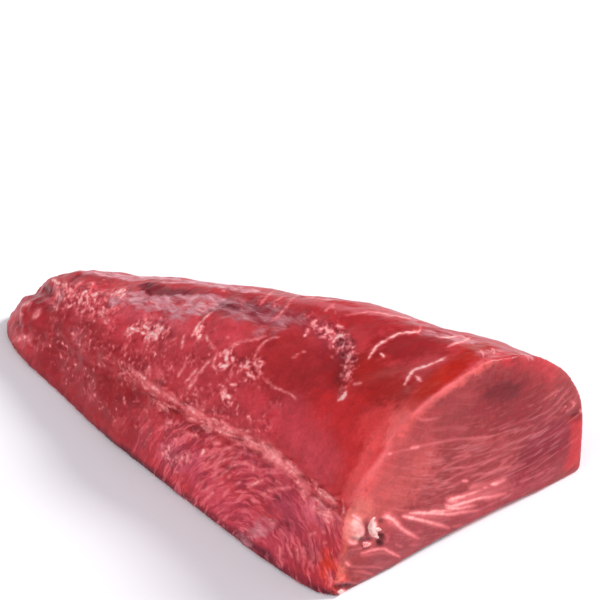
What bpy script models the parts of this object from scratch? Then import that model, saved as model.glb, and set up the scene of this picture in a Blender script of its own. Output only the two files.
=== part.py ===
"""Raw tuna loin: one boneless, skinless piece of fish, lying on its flat face.

It is cut square at its thick end, which faces +X, and tapers to a blunt tail end at -X.
Metres, +Z up. The origin is on the surface it lies on, under the middle of its bounding box.
"""

import math
from typing import NamedTuple

import bmesh
import bpy
from mathutils import Vector, noise

NAME = "loin"

# Driving sizes
LENGTH = 0.300
CUT_WIDTH = 0.160
CUT_HEIGHT = 0.0896
FOOT_RADIUS = 0.0022
TAIL_ROUNDING = 0.046
TAIL_SLANT = 0.011

# Mesh density
STATIONS = 61
CUT_ROWS = 8
TAIL_ROWS = 4
FOOT_STEPS, WALL_STEPS, SLOPE_STEPS, BACK_STEPS, FAR_WALL_STEPS = 3, 9, 22, 14, 8

# How the section changes from the cut to the tail. Each pair is a share of LENGTH, then a share of
# CUT_WIDTH from the middle line of the cut, or of CUT_HEIGHT above the surface.
NEAR_FOOT = ((0, -0.5), (0.03, -0.536), (0.12, -0.545), (0.3, -0.53), (0.55, -0.5), (0.8, -0.44), (1, -0.385))
FAR_FOOT = ((0, 0.5), (0.25, 0.44), (0.5, 0.31), (0.75, 0.15), (1, -0.06))
RIDGE_SIDE = ((0, -0.483), (0.14, -0.405), (0.27, -0.405), (0.45, -0.445), (0.62, -0.405), (1, -0.345))
RIDGE_HEIGHT = ((0, 0.41), (0.2, 0.455), (0.4, 0.43), (0.6, 0.34), (0.8, 0.25), (1, 0.21))
CREST_SIDE = ((0, 0.1), (0.3, 0.05), (0.6, -0.04), (0.85, -0.14), (1, -0.2))
CREST_HEIGHT = ((0, 0.99), (0.15, 0.925), (0.3, 0.865), (0.55, 0.695), (0.8, 0.485), (1, 0.372))
SHOULDER_INSET = 0.011
SHOULDER_RISE = 0.467

# How far each stretch of the section bows out, as a share of its own length
WALL_BOW = ((0, 0.0), (0.2, 0.05), (1, 0.08))
SLOPE_BOW = ((0, 0.16), (0.3, 0.11), (1, 0.12))
BACK_BOW = ((0, 0.148), (0.3, 0.125), (1, 0.12))
FAR_WALL_BOW = ((0, 0.03), (1, 0.06))

# Relief of the flesh, with the ridge's crags strongest on the ridge itself
LUMP_SIZE = 0.042
LUMP_HEIGHT = 0.0022
CRAG_SIZE = 0.011
CRAG_HEIGHT = 0.0018
CRAG_REACH = 0.010
CRAGS_ELSEWHERE = 0.2
MUSCLE_PITCH = 0.026
MUSCLE_LEAN = 0.75
MUSCLE_DEPTH = 0.0007
FLOOR_CLEARANCE = 0.012
RIM_CLEARANCE = 0.006


class Groove(NamedTuple):
    """A groove in the flesh, straight in plan from one (distance from the cut, side) point to another."""

    start: tuple
    end: tuple
    width: float
    depth: float


TOP_GROOVES = (
    Groove(start=(0.048, -0.040), end=(0.082, -0.008), width=0.007, depth=0.0018),
    Groove(start=(0.143, -0.045), end=(0.162, -0.012), width=0.006, depth=0.0016),
    Groove(start=(0.262, -0.048), end=(0.300, -0.036), width=0.008, depth=0.0050),
)
SIDE_GROOVES = (
    Groove(start=(0.095, -0.072), end=(0.235, -0.066), width=0.011, depth=0.0024),
    Groove(start=(0.006, -0.081), end=(0.030, -0.079), width=0.007, depth=0.0009),
)

# The cut face is nearly flat
CUT_WAVE_SIZE = 0.030
CUT_WAVE_HEIGHT = 0.0009
RIM_RADIUS = 0.0007
TAIL_BULGE = 0.0030

FLESH_COLOUR = (0.46, 0.045, 0.05, 1.0)
FLESH_ROUGHNESS = 0.32


def clear_scene():
    """Removes every object of the open file."""
    for obj in list(bpy.data.objects):
        bpy.data.objects.remove(obj)


def along(knots, place):
    """Value at a place on a smooth curve through (place, value) knots, with no overshoot."""
    places = [knot[0] for knot in knots]
    values = [knot[1] for knot in knots]
    slopes = [(values[i + 1] - values[i]) / (places[i + 1] - places[i]) for i in range(len(knots) - 1)]
    tangents = [slopes[0]]
    for before, after in zip(slopes, slopes[1:]):
        turns = before * after <= 0
        tangents.append(0.0 if turns else 2 * before * after / (before + after))
    tangents.append(slopes[-1])
    place = min(max(place, places[0]), places[-1])
    i = max(k for k in range(len(slopes)) if places[k] <= place)
    span = places[i + 1] - places[i]
    u = (place - places[i]) / span
    return (
        values[i] * (1 + 2 * u) * (1 - u) ** 2
        + tangents[i] * span * u * (1 - u) ** 2
        + values[i + 1] * u * u * (3 - 2 * u)
        + tangents[i + 1] * span * u * u * (u - 1)
    )


def bowed(start, end, bow, steps):
    """Points from start to just before end, (side, height), on an arc that bows to the left of its way."""
    chord = end - start
    outward = Vector((-chord.y, chord.x))
    shares = [i / steps for i in range(steps)]
    return [start + chord * u + outward * (bow * 4 * u * (1 - u)) for u in shares]


def section(share):
    """The outline across X at a share of the length, from the near foot over the top to the far foot."""
    near_foot = along(NEAR_FOOT, share) * CUT_WIDTH
    far_foot = along(FAR_FOOT, share) * CUT_WIDTH
    crest_height = along(CREST_HEIGHT, share) * CUT_HEIGHT
    near_heel = Vector((near_foot, FOOT_RADIUS))
    far_heel = Vector((far_foot, FOOT_RADIUS))
    ridge = Vector((along(RIDGE_SIDE, share) * CUT_WIDTH, along(RIDGE_HEIGHT, share) * CUT_HEIGHT))
    crest = Vector((along(CREST_SIDE, share) * CUT_WIDTH, crest_height))
    shoulder = Vector((far_foot - SHOULDER_INSET * CUT_WIDTH, SHOULDER_RISE * crest_height))
    turns = [math.pi / 2 * i / FOOT_STEPS for i in range(FOOT_STEPS)]
    curl = [Vector((1 - math.sin(turn), 1 - math.cos(turn))) * FOOT_RADIUS for turn in turns]
    near_curl = [Vector((near_foot + inset.x, inset.y)) for inset in curl]
    far_curl = [Vector((far_foot - inset.y, inset.x)) for inset in curl]
    return (
        near_curl
        + bowed(near_heel, ridge, along(WALL_BOW, share), WALL_STEPS)
        + bowed(ridge, crest, along(SLOPE_BOW, share), SLOPE_STEPS)
        + bowed(crest, shoulder, along(BACK_BOW, share), BACK_STEPS)
        + bowed(shoulder, far_heel, along(FAR_WALL_BOW, share), FAR_WALL_STEPS)
        + far_curl
        + [Vector((far_foot - FOOT_RADIUS, 0))]
    )


def rounded(outline, share):
    """The outline drawn in about its foot's middle where the tail end rounds off."""
    beyond = (share * LENGTH - (LENGTH - TAIL_ROUNDING)) / TAIL_ROUNDING
    if beyond <= 0:
        return outline
    height_kept = (1 - (0.96 * beyond) ** 2.6) ** 0.45
    width_kept = 0.2 + 0.8 * height_kept
    middle = Vector(((outline[0].x + outline[-1].x) / 2, 0))
    return [middle + Vector(((p.x - middle.x) * width_kept, p.y * height_kept)) for p in outline]


def station_shares():
    """Places along the loin, evenly spread and closer together where the tail rounds off."""
    even = [i / (STATIONS - 1) for i in range(STATIONS)]
    return [u + 0.045 * math.sin(math.pi * u) * u for u in even]


def bump(distance, reach):
    """1 at no distance, falling smoothly to 0 at reach."""
    u = min(abs(distance) / reach, 1.0)
    return (1 - u * u) ** 2


def groove_depth(groove, place):
    """Depth of a groove at a (distance from the cut, side) place. It runs out towards its ends."""
    start = Vector(groove.start)
    run = Vector(groove.end) - start
    share = (place - start).dot(run) / run.length_squared
    nearest = start + run * min(max(share, 0.0), 1.0)
    return groove.depth * bump((place - nearest).length, groove.width)


def relief(point, share, ridge, on_top):
    """How far the flesh stands out at a point of the plain form, in metres."""
    distance = share * LENGTH
    clear_of_floor = min(point.z / FLOOR_CLEARANCE, 1.0)
    clear_of_rim = min(distance / RIM_CLEARANCE, 1.0)
    lumps = noise.noise(point / LUMP_SIZE) * LUMP_HEIGHT * (1 + 2 * clear_of_rim) / 3
    from_ridge = math.hypot(point.y - ridge.x, point.z - ridge.y)
    roughness = CRAGS_ELSEWHERE + bump(from_ridge, CRAG_REACH)
    crags = noise.fractal(point / CRAG_SIZE, 0.6, 2.0, 3) * CRAG_HEIGHT * roughness
    phase = (distance + MUSCLE_LEAN * abs(point.y - ridge.x)) / MUSCLE_PITCH
    muscles = MUSCLE_DEPTH * (1 - abs(math.sin(math.pi * phase))) ** 2
    place = Vector((distance, point.y))
    grooves = sum(groove_depth(groove, place) for groove in (TOP_GROOVES if on_top else SIDE_GROOVES))
    return (lumps + crags * clear_of_rim - muscles - grooves) * clear_of_floor


def shell_rows():
    """Rows of points over the top of the loin, from the cut to the tail, with the flesh's relief."""
    rows = []
    ridge_at = FOOT_STEPS + WALL_STEPS
    for share in station_shares():
        outline = rounded(section(share), share)
        slant = TAIL_SLANT * max(share * LENGTH - (LENGTH - 2 * TAIL_ROUNDING), 0) / (2 * TAIL_ROUNDING)
        row = []
        for i, flat in enumerate(outline):
            across = (flat.x - outline[0].x) / CUT_WIDTH
            point = Vector((LENGTH / 2 - share * LENGTH + slant * across, flat.x, flat.y))
            way = outline[min(i + 1, len(outline) - 1)] - outline[max(i - 1, 0)]
            outward = Vector((0, -way.y, way.x)).normalized()
            row.append(point + outward * relief(point, share, outline[ridge_at], i > ridge_at))
        rows.append(row)
    return rows


def end_rows(row, levels, swell):
    """Rows that fill the end of the shell, from its last row down to the straight foot line."""
    foot_start = row[0]
    foot_end = row[-1]
    filled = []
    for level in range(1, levels + 1):
        down = level / levels
        filled.append([])
        for i, point in enumerate(row):
            foot = foot_start.lerp(foot_end, i / (len(row) - 1))
            inner = point.lerp(foot, down)
            inner.x += swell(inner, point, foot)
            filled[-1].append(inner)
    return filled


def cut_swell(inner, rim, foot):
    """The cut face is nearly flat: it waves a little, and its rim is drawn in."""
    depth = min((inner - rim).length, inner.z if inner.z > 0 else 0.0)
    wave = noise.noise(inner / CUT_WAVE_SIZE + Vector((3.1, 0, 0))) * CUT_WAVE_HEIGHT
    return (wave + RIM_RADIUS) * min(depth / 0.006, 1.0)


def tail_swell(inner, rim, foot):
    """The tail's end bulges a little."""
    if rim.z <= foot.z:
        return 0.0
    level = (inner.z - foot.z) / (rim.z - foot.z)
    return -TAIL_BULGE * 4 * level * (1 - level)


def add_strip(mesh, upper, lower):
    """Quads between two rows of vertices. A quad whose side has no length becomes a triangle."""
    for i in range(len(upper) - 1):
        corners = [upper[i], upper[i + 1], lower[i + 1], lower[i]]
        distinct = [v for k, v in enumerate(corners) if v not in corners[:k]]
        mesh.faces.new(distinct)


def loin_mesh():
    """The closed mesh of the loin: shell, cut face, tail end and flat underside."""
    mesh = bmesh.new()
    rows = shell_rows()
    shell = [[mesh.verts.new(point) for point in row] for row in rows]
    for upper, lower in zip(shell, shell[1:]):
        add_strip(mesh, upper, lower)
    feet = []
    for row, vertices, levels, swell in (
        (rows[0], shell[0], CUT_ROWS, cut_swell),
        (rows[-1], shell[-1], TAIL_ROWS, tail_swell),
    ):
        upper = vertices
        for points in end_rows(row, levels, swell):
            inner = [mesh.verts.new(point) for point in points[1:-1]]
            lower = [vertices[0], *inner, vertices[-1]]
            add_strip(mesh, upper, lower)
            upper = lower
        feet.append(upper)
    far_side = [row[-1] for row in shell[1:]]
    near_side = [row[0] for row in shell[-2:0:-1]]
    mesh.faces.new(feet[0] + far_side + feet[1][-2::-1] + near_side)
    bmesh.ops.recalc_face_normals(mesh, faces=mesh.faces)
    made = bpy.data.meshes.new(NAME)
    mesh.to_mesh(made)
    mesh.free()
    return made


def centre_on_origin(mesh):
    """Moves the mesh so that the origin is on the surface, under the middle of its box."""
    points = [vertex.co for vertex in mesh.vertices]
    low = [min(p[axis] for p in points) for axis in range(3)]
    high = [max(p[axis] for p in points) for axis in range(3)]
    middle = Vector(((low[0] + high[0]) / 2, (low[1] + high[1]) / 2, low[2]))
    for vertex in mesh.vertices:
        vertex.co -= middle


def flesh_material():
    """Wet raw flesh."""
    material = bpy.data.materials.new("raw_flesh")
    material.use_nodes = True
    shader = material.node_tree.nodes["Principled BSDF"]
    shader.inputs["Base Color"].default_value = FLESH_COLOUR
    shader.inputs["Roughness"].default_value = FLESH_ROUGHNESS
    shader.inputs["Metallic"].default_value = 0.0
    return material


def main():
    """Builds the loin in a collection of its own."""
    clear_scene()
    mesh = loin_mesh()
    centre_on_origin(mesh)
    mesh.materials.append(flesh_material())
    mesh.shade_smooth()
    loin = bpy.data.objects.new(NAME, mesh)
    collection = bpy.data.collections.new("tuna_loin")
    bpy.context.scene.collection.children.link(collection)
    collection.objects.link(loin)


main()
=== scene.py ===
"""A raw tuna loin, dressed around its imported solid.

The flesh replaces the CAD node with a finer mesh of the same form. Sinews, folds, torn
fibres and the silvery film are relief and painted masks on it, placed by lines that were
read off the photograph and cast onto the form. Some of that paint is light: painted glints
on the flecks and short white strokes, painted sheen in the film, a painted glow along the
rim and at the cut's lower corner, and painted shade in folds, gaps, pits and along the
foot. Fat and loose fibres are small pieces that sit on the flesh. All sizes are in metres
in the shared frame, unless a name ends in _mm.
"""

import logging
import math
from dataclasses import dataclass, field
from enum import Enum

import bpy
import numpy as np
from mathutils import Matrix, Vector, noise
from mathutils.bvhtree import BVHTree


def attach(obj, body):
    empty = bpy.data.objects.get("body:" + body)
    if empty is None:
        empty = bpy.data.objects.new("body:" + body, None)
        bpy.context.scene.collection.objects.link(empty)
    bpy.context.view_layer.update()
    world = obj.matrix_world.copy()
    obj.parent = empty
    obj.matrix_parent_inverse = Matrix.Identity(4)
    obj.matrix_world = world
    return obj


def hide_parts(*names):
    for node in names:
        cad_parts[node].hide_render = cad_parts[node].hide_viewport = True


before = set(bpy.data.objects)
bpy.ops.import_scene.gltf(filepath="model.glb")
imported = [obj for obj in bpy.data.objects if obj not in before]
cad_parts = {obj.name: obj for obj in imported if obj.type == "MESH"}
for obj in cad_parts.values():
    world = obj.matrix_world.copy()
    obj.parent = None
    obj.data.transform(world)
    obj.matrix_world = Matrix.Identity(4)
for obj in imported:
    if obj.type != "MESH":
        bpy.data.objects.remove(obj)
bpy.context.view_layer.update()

LOG = logging.getLogger("tuna_loin")
MM = 0.001
IMAGE_SIZE = 600
NODE = "loin"
BODY = "root"
# Middle of the dark core that the cut shows
CORE_CENTRE = (0.152, 0.0275, 0.0615)
# The wave texture draws one ring in this length over its scale
WAVE_RING = 0.314
# How fast finer noise gets weaker
NOISE_FALL = 0.8
MERGE_DISTANCE = 1e-5

Line = tuple[tuple[float, float], ...]


class Zone(Enum):
    """Which side of the loin a mask is kept to."""

    TOP = "top"
    SIDE = "side"
    CUT = "cut"
    FAR = "far"
    ANY = "any"


def pixels(text: str) -> Line:
    """Reads a line of photograph pixels.

    Args:
        text: "x,y x,y ..." in pixels of the 600 px frame.

    Returns:
        The points in order.
    """
    return tuple(tuple(float(v) for v in pair.split(",")) for pair in text.split())


@dataclass(frozen=True)
class Stroke:
    """A narrow line on the flesh, such as a sinew, a fold or a torn fibre.

    Attributes:
        line: its course in photograph pixels.
        half_width_mm: distance from its middle at which it has faded to about half.
        lift_mm: height of the relief, negative for a fold.
        pale: how pale it is, 0 for none and 1 for white.
        fade: how much of it is lost towards its end.
    """

    line: Line
    half_width_mm: float
    lift_mm: float
    pale: float
    fade: float = 0.0


@dataclass(frozen=True)
class Patch:
    """A broad area on the flesh, given by the line through its middle.

    Attributes:
        line: its middle line in photograph pixels.
        reach_mm: distance from the line at which it ends.
        strength: how much of it there is. Above 1 it also fills more of its ragged edge.
        colour: sRGB hex for patches that tint the flesh, and empty for the others.
        zone: the side of the loin that it is kept to.
    """

    line: Line
    reach_mm: float
    strength: float
    colour: str
    zone: Zone


def strokes(table: str, half_width_mm: float, lift_mm: float, pale: float,
            fade: float = 0.0) -> tuple[Stroke, ...]:
    """Reads several strokes of one kind, one to a line.

    Args:
        table: lines of photograph pixels.
        half_width_mm: half width of each.
        lift_mm: height of each.
        pale: paleness of each.
        fade: loss towards the end of each.

    Returns:
        The strokes in order.
    """
    return tuple(Stroke(pixels(row), half_width_mm, lift_mm, pale, fade)
                 for row in table.strip().splitlines())


def areas(table: str) -> tuple[Patch, ...]:
    """Reads several patches, one to a line.

    Args:
        table: lines of photograph pixels, a bar, reach in mm, strength, and for some a
            colour and a zone.

    Returns:
        The patches in order.
    """
    result = []
    for row in table.strip().splitlines():
        line, settings = row.split("|")
        reach_mm, strength, *rest = settings.split()
        colour = rest[0] if rest else ""
        zone = Zone(rest[1]) if len(rest) > 1 else Zone.ANY
        result.append(Patch(pixels(line), float(reach_mm), float(strength), colour, zone))
    return tuple(result)


# Lines read off the photograph, in its pixels
RIDGE = pixels("345,522 335,503 317,487 301,471 279,459 257,446 241,436 214,427 196,418 "
               "156,402 143,388 113,368 70,350 30,335")
RIM = pixels("348,506 363,481 385,454 390.6,435.5 406,417 417,411 429,400 441.6,391.6 457,380 "
             "472,369 480.7,362 490.5,359 501,352.5 510,352.6")

TOP_SINEWS = strokes("""
    212,359 198,374 187,389
    195,371 185,382.5
    184,367 178.5,375
    183,338.5 181,347
    226.7,349.7 233,344.6 242,341 255,339.6 266,335.6
    255,356 259,347.7 268.4,339.6 279,337
    261.7,377 271,385 282,390.5 291,394.5 296.5,400
    291,300.8 285.8,307.5 279,315.5 271,321
    283,296.8 273.7,302
    273.7,291 265.7,298 260.4,304.8
    334,303.5 324.6,311.5
    208,339.6 214.8,350.4
    228.2,349 226.9,363.7
    118,299.6 123,294
    116.5,293 126,287.5
    148,367 146,375
    353,384.5 362,383
    293.8,294.5 313.9,298.5 335.4,300.5
    345,315.5 370,312 390,315 419,321
    289,302 295,297
    240,341 256,340
    268,340 262,344 258,350 254,358
""", 0.85, 0.18, 0.52)

BRIGHT_SINEWS = strokes("""
    212,311.5 201.4,321 196,329 192,337
    368,359 375.3,347.8 383.5,341.6 400.8,333.5 419,331.4 420,327
    381,353.5 384,356.5
    404,385 409,377 414,370 427,366 440.6,360 447.8,357.4
    416,376 421,381
    447.8,346.7 454,343.7 462,341.6 470,338
    439.6,337.6 461,336.5
    342.7,394.5 338,401
    480.5,351 483,357
    492.6,349 493.7,354
""", 0.85, 0.2, 0.78)

RIDGE_FIBRES = strokes("""
    130,365 140,378 145,386 156,391
    162,392 174,398.7 181,404
    167,394.5 178,402 187,407 198,412 205,418
    188,420 204,421.3
    208,420 224,424 233.6,429.4 249.6,430.7
    209,424.5 223.6,430 241.8,432.7
    216.4,428 232.7,436.4 249,440 260,449
    217.5,430.7 233.6,438.7 252,444 260,445.4
    243.6,440 254.5,449
    263,442.8 273.7,452 281.8,462.8
    267,452.7 280,460 294.5,472.7
    284.5,458.8 293.8,468 300.5,476
    212.7,441.8 221,443.6
    185.5,432.7 198,436.4
    311.8,483.6 321.8,492.7 332.7,501.8 337,502
    301.8,489 305.5,498
    311,505.5 321.8,514.5 332.7,507
    334,512 343,522 345,530
    165.5,423.6 172,421
""", 1.25, 0.35, 0.46) + strokes("""
    244,437 252,441 262,447
    263,447 272,454 282,462
    265,452 274,459
    285,466 296,475
    297,479 303,487 305,496
    313,506 322,513 334,519
    222,427 234,433
    150,385 160,392
    186,409 197,414
    320,493 330,499
    136,372 146,379
    170,397 179,403
    21,307 27,304 32,301
    34,317 38,312 41,309
    17,341 22,337 28,338 31,343
""", 1.5, 0.3, 0.6)

SIDE_FIBRES = strokes("""
    265.5,491 278,489 292.7,487
    209,456 218,450 234.5,448
    204,468 214.8,454.8 226.9,450
    213,470 222,461 240,456
    219,478 232,466 250,463
    209,467 216,463
    212,477 217,472
    214,480 220,476
    196,487 204,480
    201,492 213,485
    219,484 224,481
    232,487 241,481
    228,478 231,475
    205,500 214,492
    222,497 230,488
    236,502 246,492
    252,500 257,502
    262,494 266,493
    178,456 180,464
    204,452 208,448
    279,546 281,552 278,556
    287,543 291,556
    297,546 298,562
    303,546 306,560
    311,550 314,560
    318,552 321,562
    310,535 316,532
    322,531 325,533
    324,543 327,542
    253,460 253,472
""", 1.0, 0.18, 0.46)

# Short pale strokes where fibres stand up; partly pale fibre and partly painted highlights, the
# glints that wet fibres catch
WHITE_FIBRE_GLINTS = strokes("""
    130,328 139,331
    143,326 149,329
    142,332 144,334
    148,335 153,333 156,336 155,340
    159,330 163,327
    201,335 197,341
    228,351 226,358 227,364
    220,367 228,365.5
    226,395 230,398
    248,366 249,368
    247,373 251,376
    333,342 335,339 340,335.5 343,338
    345,366 346,368
    341,400 344,395 346,392
    82,295 87,291
    93,296 97,292
    52,279 60,284
    120,299 125,293
    117,294 122,289
""", 1.05, 0.16, 0.88)

BRIGHT_FIBRE_GLINTS = strokes("""
    149,366 150,371 150,376
    144,387 150,389
    169,398 176,400
    157,403.5 158,403.5
    188,418 197,420.5
    191,435 197,435.5
    224,428.5 231,429.5
    232,432 239,432
    240,430 249,432
    247,437 250,441 252,448
    252,445 258,443
    215,430 222,432
    213,443 219,444
    262,443 266,448
    267,455 273,454 280,455
    272,450 275,456 279,464
    284,461 290,464
    304,488 304,494 304,499
    312,480 316,484 317,490 322,494 328,498 336,502
    312,497 318,501 323,506 328,511 332,515
    313,507 317,507
    324,517 329,523
    204,449 201,456
    248,487 256,483 263,480
    228,401 231,405
    197,369 187,381
    197,378 188,389
    183,368 178,376
    210,360 205,366 200,373
    187,454 187,463
    169,445 169,451
    162,452 164,455
    185,334 183,341 182,348
    164,333 167,330
    145,322 149,323
    206,335 208,342
    231,346 239,344
    253,362 257,366 257,371
    258,362 263,362
    241,364 242,368
    222,386 226,389
    230,384 236,385
    217,353 214,360 213,366 217,370
    312,321 313,325
    319,330 325,327
    319,338 327,337
    336,325 344,328
    304,337 306,334
    306,333 309,329
    346,349 350,345 351,342
    352,353 352.5,354
    346,377 349,373
    339,348 340,348
    331,306 334,307
    66,290 71,293
    81,312 86,309
    106,310 110,312
    113,313 115,311
    40,311 36,318
    20,312 23,315
    100,314 104,317
    104,320 107,324
    72,333 76,337
    75,287 82,282
""", 1.0, 0.18, 0.64)

MID_FIBRE_GLINTS = strokes("""
    131,371 141,379
    146,380 147,384
    150,386 155,389
    163,388 167,388
    163,396 165,397
    169,392 176,397
    171,407 176,407.5
    181,407 186,408
    190,408 192,407
    187,411 190,412
    193,413 196,415
    196,399 198,409
    197,421 205,422
    165,428 168,426
    172,423 173,423
    185,432 190,433
    210,421 213,421
    216,424 219,424
    221,422 227,423
    224,434 231,438
    241,434 247,438
    237,443 245,445
    203,463 204,463
    266,472 275,473
    285,470 290,473
    290,473 300,473
    296,476 301,479
    276,480 282,485
    294,481 300,484
    290,464 297,468
    113,363 114,363
    119,374 127,373
    145,409 148,412
    135,426 136,426
    266,430 266.5,430
    228,458 234,457
    235,398.5 236,398.5
    186,360 184,368
    12,343 17,338 24,337 28,341 31,345
    50,303 56,304
    170,341 177,338
    209,344 214,350
    265,379 268,380 271,385 274,388
    259,374 263,373
    243,378 246,378
    232,370 231,376
    225,379 230,381
    235,389 236,391
    209,384 211,385
    258,388 260,387
    226,337 229,338
    304,315 305,316
    330,329 334,333
    330,343 331,349
    346,361 349,359
    347,367 352,366
    331,356 333,359
    345,378 344,381
    180,458 180,463
    189,451 189,456
    174,472 178,472
    271,523 275,524
    293,396 296,399
    128,333 127,338
    88,288 92,286
    109,355 110,356
    302,352 306,352
    293,358 298,354
    270,402 271,403
""", 0.95, 0.14, 0.47)

CUT_SINEWS = strokes("""
    386,455 400,451 410,449 422,446 435,443 450,440 476,438 499,435
    416,418 424,420 439.6,417.7
    447,488 455,485 462,482
    471,478 476,475 485,474 495,472
    496,470 500,466 508,459
    457,496 465,493 475,490 485,488 490,487
    450,472 458,468 470,466.5
    452,459 457,457 463,455 469,453
    553,406 558,402 564,395 569,390
    565,412 570,409 576,404
    336,584 346,582 357,584
    344,538 352,543 357,544
    337,560 343,553
    345,560 350,566 362,567 378,567 384,570
    352,571 364,572 376,576
    360,556 372,554 384,553 396,556
    350,550 358,549 366,548
    534,478 544,472
    395,544 402,547
    452,527 462,525
    380,531 385,534 388,538 385,544
    440,470 455,462 470,456
    447,480 462,473 478,468
    462,470 480,463 496,459
    436,488 448,481
    480,478 496,469 512,466
    500,462 514,455
    512,470 526,463
""", 0.9, 0.08, 0.34)

FAINT_CUT_SINEWS = strokes("""
    423,475 434,476
    519,482.5 531,478.7
    546.7,468.5 555.6,471
    480,486 500,477 516,465
    520,440 534,434 548,430
    500,430 520,422 538,418
    430,430 452,427 470,428
    400,470 420,464 446,461
    418,490 445,490
    475,462 480,460
    485,457 491,455
    458,443 475,440 495,436
    502,440 503,440
    511,443 523,438 537,432.6
    543.5,420.5 551,418 559,417
    543.5,400 549,396 554,393
    533,463.6 542,459 550.4,455
    545,474 552,470 559,467
    527,424 533,426
    504,403.5 505,403.5
    522,409 523,409
    504,411 505,411
    548,411 553,408
    502,451 520,446
    354,574 358,575
    425,462 440,458 452,452
    470,446 490,442 508,436
    512,450 530,445
    430,476 440,470
    446,492 456,487
    486,494 500,488 516,484
    524,474 538,466
    372,565 392,562
    376,575 388,572
    360,580 372,578
    410,545 428,538
""", 1.15, 0.06, 0.22)

STRONG_CUT_SINEWS = strokes("""
    491,484.5 498,483 506,479
    446,505 452,506 460,504 470,501 480,498 490,497 506,493.5
    410,513 430,513 450,514 462,512 478,510.5
    403,516 412,518 425,521 440,525 449,528
    383,517 390,518 395,522 400,527 405,531 412,535 418,538
    385,515 394,520 402,527
    448,500 464,496 484,489
    446,508 460,508 476,505
    428,512 444,511 456,509
""", 1.3, 0.12, 0.8, 0.4) + strokes("""
    386,514 394,518 400,524
    405,515 416,518 430,522
    410,514 430,514 450,514
    446,504 456,505 470,501
    462,499 480,495 496,492
    388,520 398,526 408,532
    450,502 462,500 476,496
    470,488 482,485 494,482
    418,515 436,517 452,519
""", 2.1, 0.1, 0.52, 0.6) + strokes("""
    361,553 366,552 372,550 384,549 390,552 400,557
    462,481 468,481
    483,488 487,487
    388,454 392,453
    410,448.5 420,446.5
    580,410 582,413
    345,562 350,566
""", 1.0, 0.2, 0.58) + strokes("""
    448,499 453,501 458,501
""", 2.4, 0.2, 0.6)

# Fat and torn sinew at the lower corner of the cut
CORNER_FLESH = strokes("""
    359.5,525 361.8,530 361,536
    374.5,518 371.5,523 371.5,529
    352,515 356,517 361,521
    348,540 352,543 357,543
""", 1.1, 0.25, 0.7) + strokes("""
    340,592 347,590.5
""", 1.6, 0.4, 0.8) + strokes("""
    356,524 357.5,529 359,534
""", 2.9, 0.5, 0.35) + strokes("""
    372,531 374,534 377,535.5
    374,522 374,528 376,532
""", 1.7, 0.2, 0.9) + strokes("""
    364,543 367,545 371,543
""", 1.2, 0.3, 0.6)

# Folds in the flesh; they are also darkened with painted shade, the more the deeper they sink
FOLDS = strokes("""
    215.5,309 205,314 199,322
    217.5,302 228,306 238,309
    245,303 256,309
    70,282 77,277 85,273
    569,416 576,414 583,412
    311,493 318,497 324,503 330,507
    365.5,523 366.5,530 366.5,538
    363,548.5 368,548
    338,586 350,585.5 361,585
    352,539 362,539.5 371,538.5
""", 0.9, -0.5, 0.0)

# Gaps between the ridge's lumps and elsewhere, sunk a little and darkened with painted shade
GAPS_WITH_PAINTED_SHADE = strokes("""
    332,507 338,507
    205,410 215,411 226,412
    192,428 205,430
    232,436 245,440
    245,452 262,453
    224,466 230,467
    262,465 272,466
    155,381 165,384
    146,394 152,395
    180,402 188,404
    236,402.5 237,403.5
    84,288 85,289
    75,293 76,293
    281,522 292,524
    276,495 280,499
    306,543 311,552 313,562
    333,556 334,557
    350,357 354,360
    337,380 340,395
    196,344.5 198,344
    147,284 149,287
    146,291 150,295
    336,341 344,341
    341,352 344,356
    352,340 353,345
    172,410 180,412
    300,476 306,478
    271,487 274,480
    250,451 256,452
    45,287 50,292
    17,322 20,325
""", 1.2, -0.42, 0.0)

BROAD_GROOVES = strokes("""
    333,402 335,388 335,368 331,353
""", 2.6, -0.4, 0.0)

# Pits at the cut's corner, sunk and darkened with painted shade
CORNER_PITS = strokes("""
    380,534.5 381.5,537
    378.5,541.5 380.5,544
    348,593 350,593
""", 1.3, -1.6, 0.0) + strokes("""
    379,520 381,522
    331,594 334,595
""", 1.5, -0.6, 0.0)

# Lines on the hidden far side, as x and z in mm
FAR_SINEWS = strokes("""
    130,10 120,25 116,40 120,56 128,66
    100,8 90,22 87,38 92,52
    70,8 60,20 57,34 62,46
    40,8 31,18 28,30 33,41
    10,8 2,16 0,27 4,36
    -20,7 -27,15 -29,24 -25,31
    -50,7 -56,13 -58,20 -55,26
    -80,6 -85,11 -86,16
""", 0.9, 0.12, 0.30) + strokes("""
    118,30 108,34 100,33
    75,52 66,55 58,54
    20,20 12,24 6,24
    -10,30 -18,31 -24,30
    60,25 50,27 44,26
    96,14 90,16
    -44,18 -50,22
    35,34 30,36
""", 0.8, 0.16, 0.5)

# Pale line along the rim: partly pale tissue, partly the painted highlight of the rounded edge
PALE_RIM = Stroke(RIM, 1.5, 0.05, 0.38)

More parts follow.
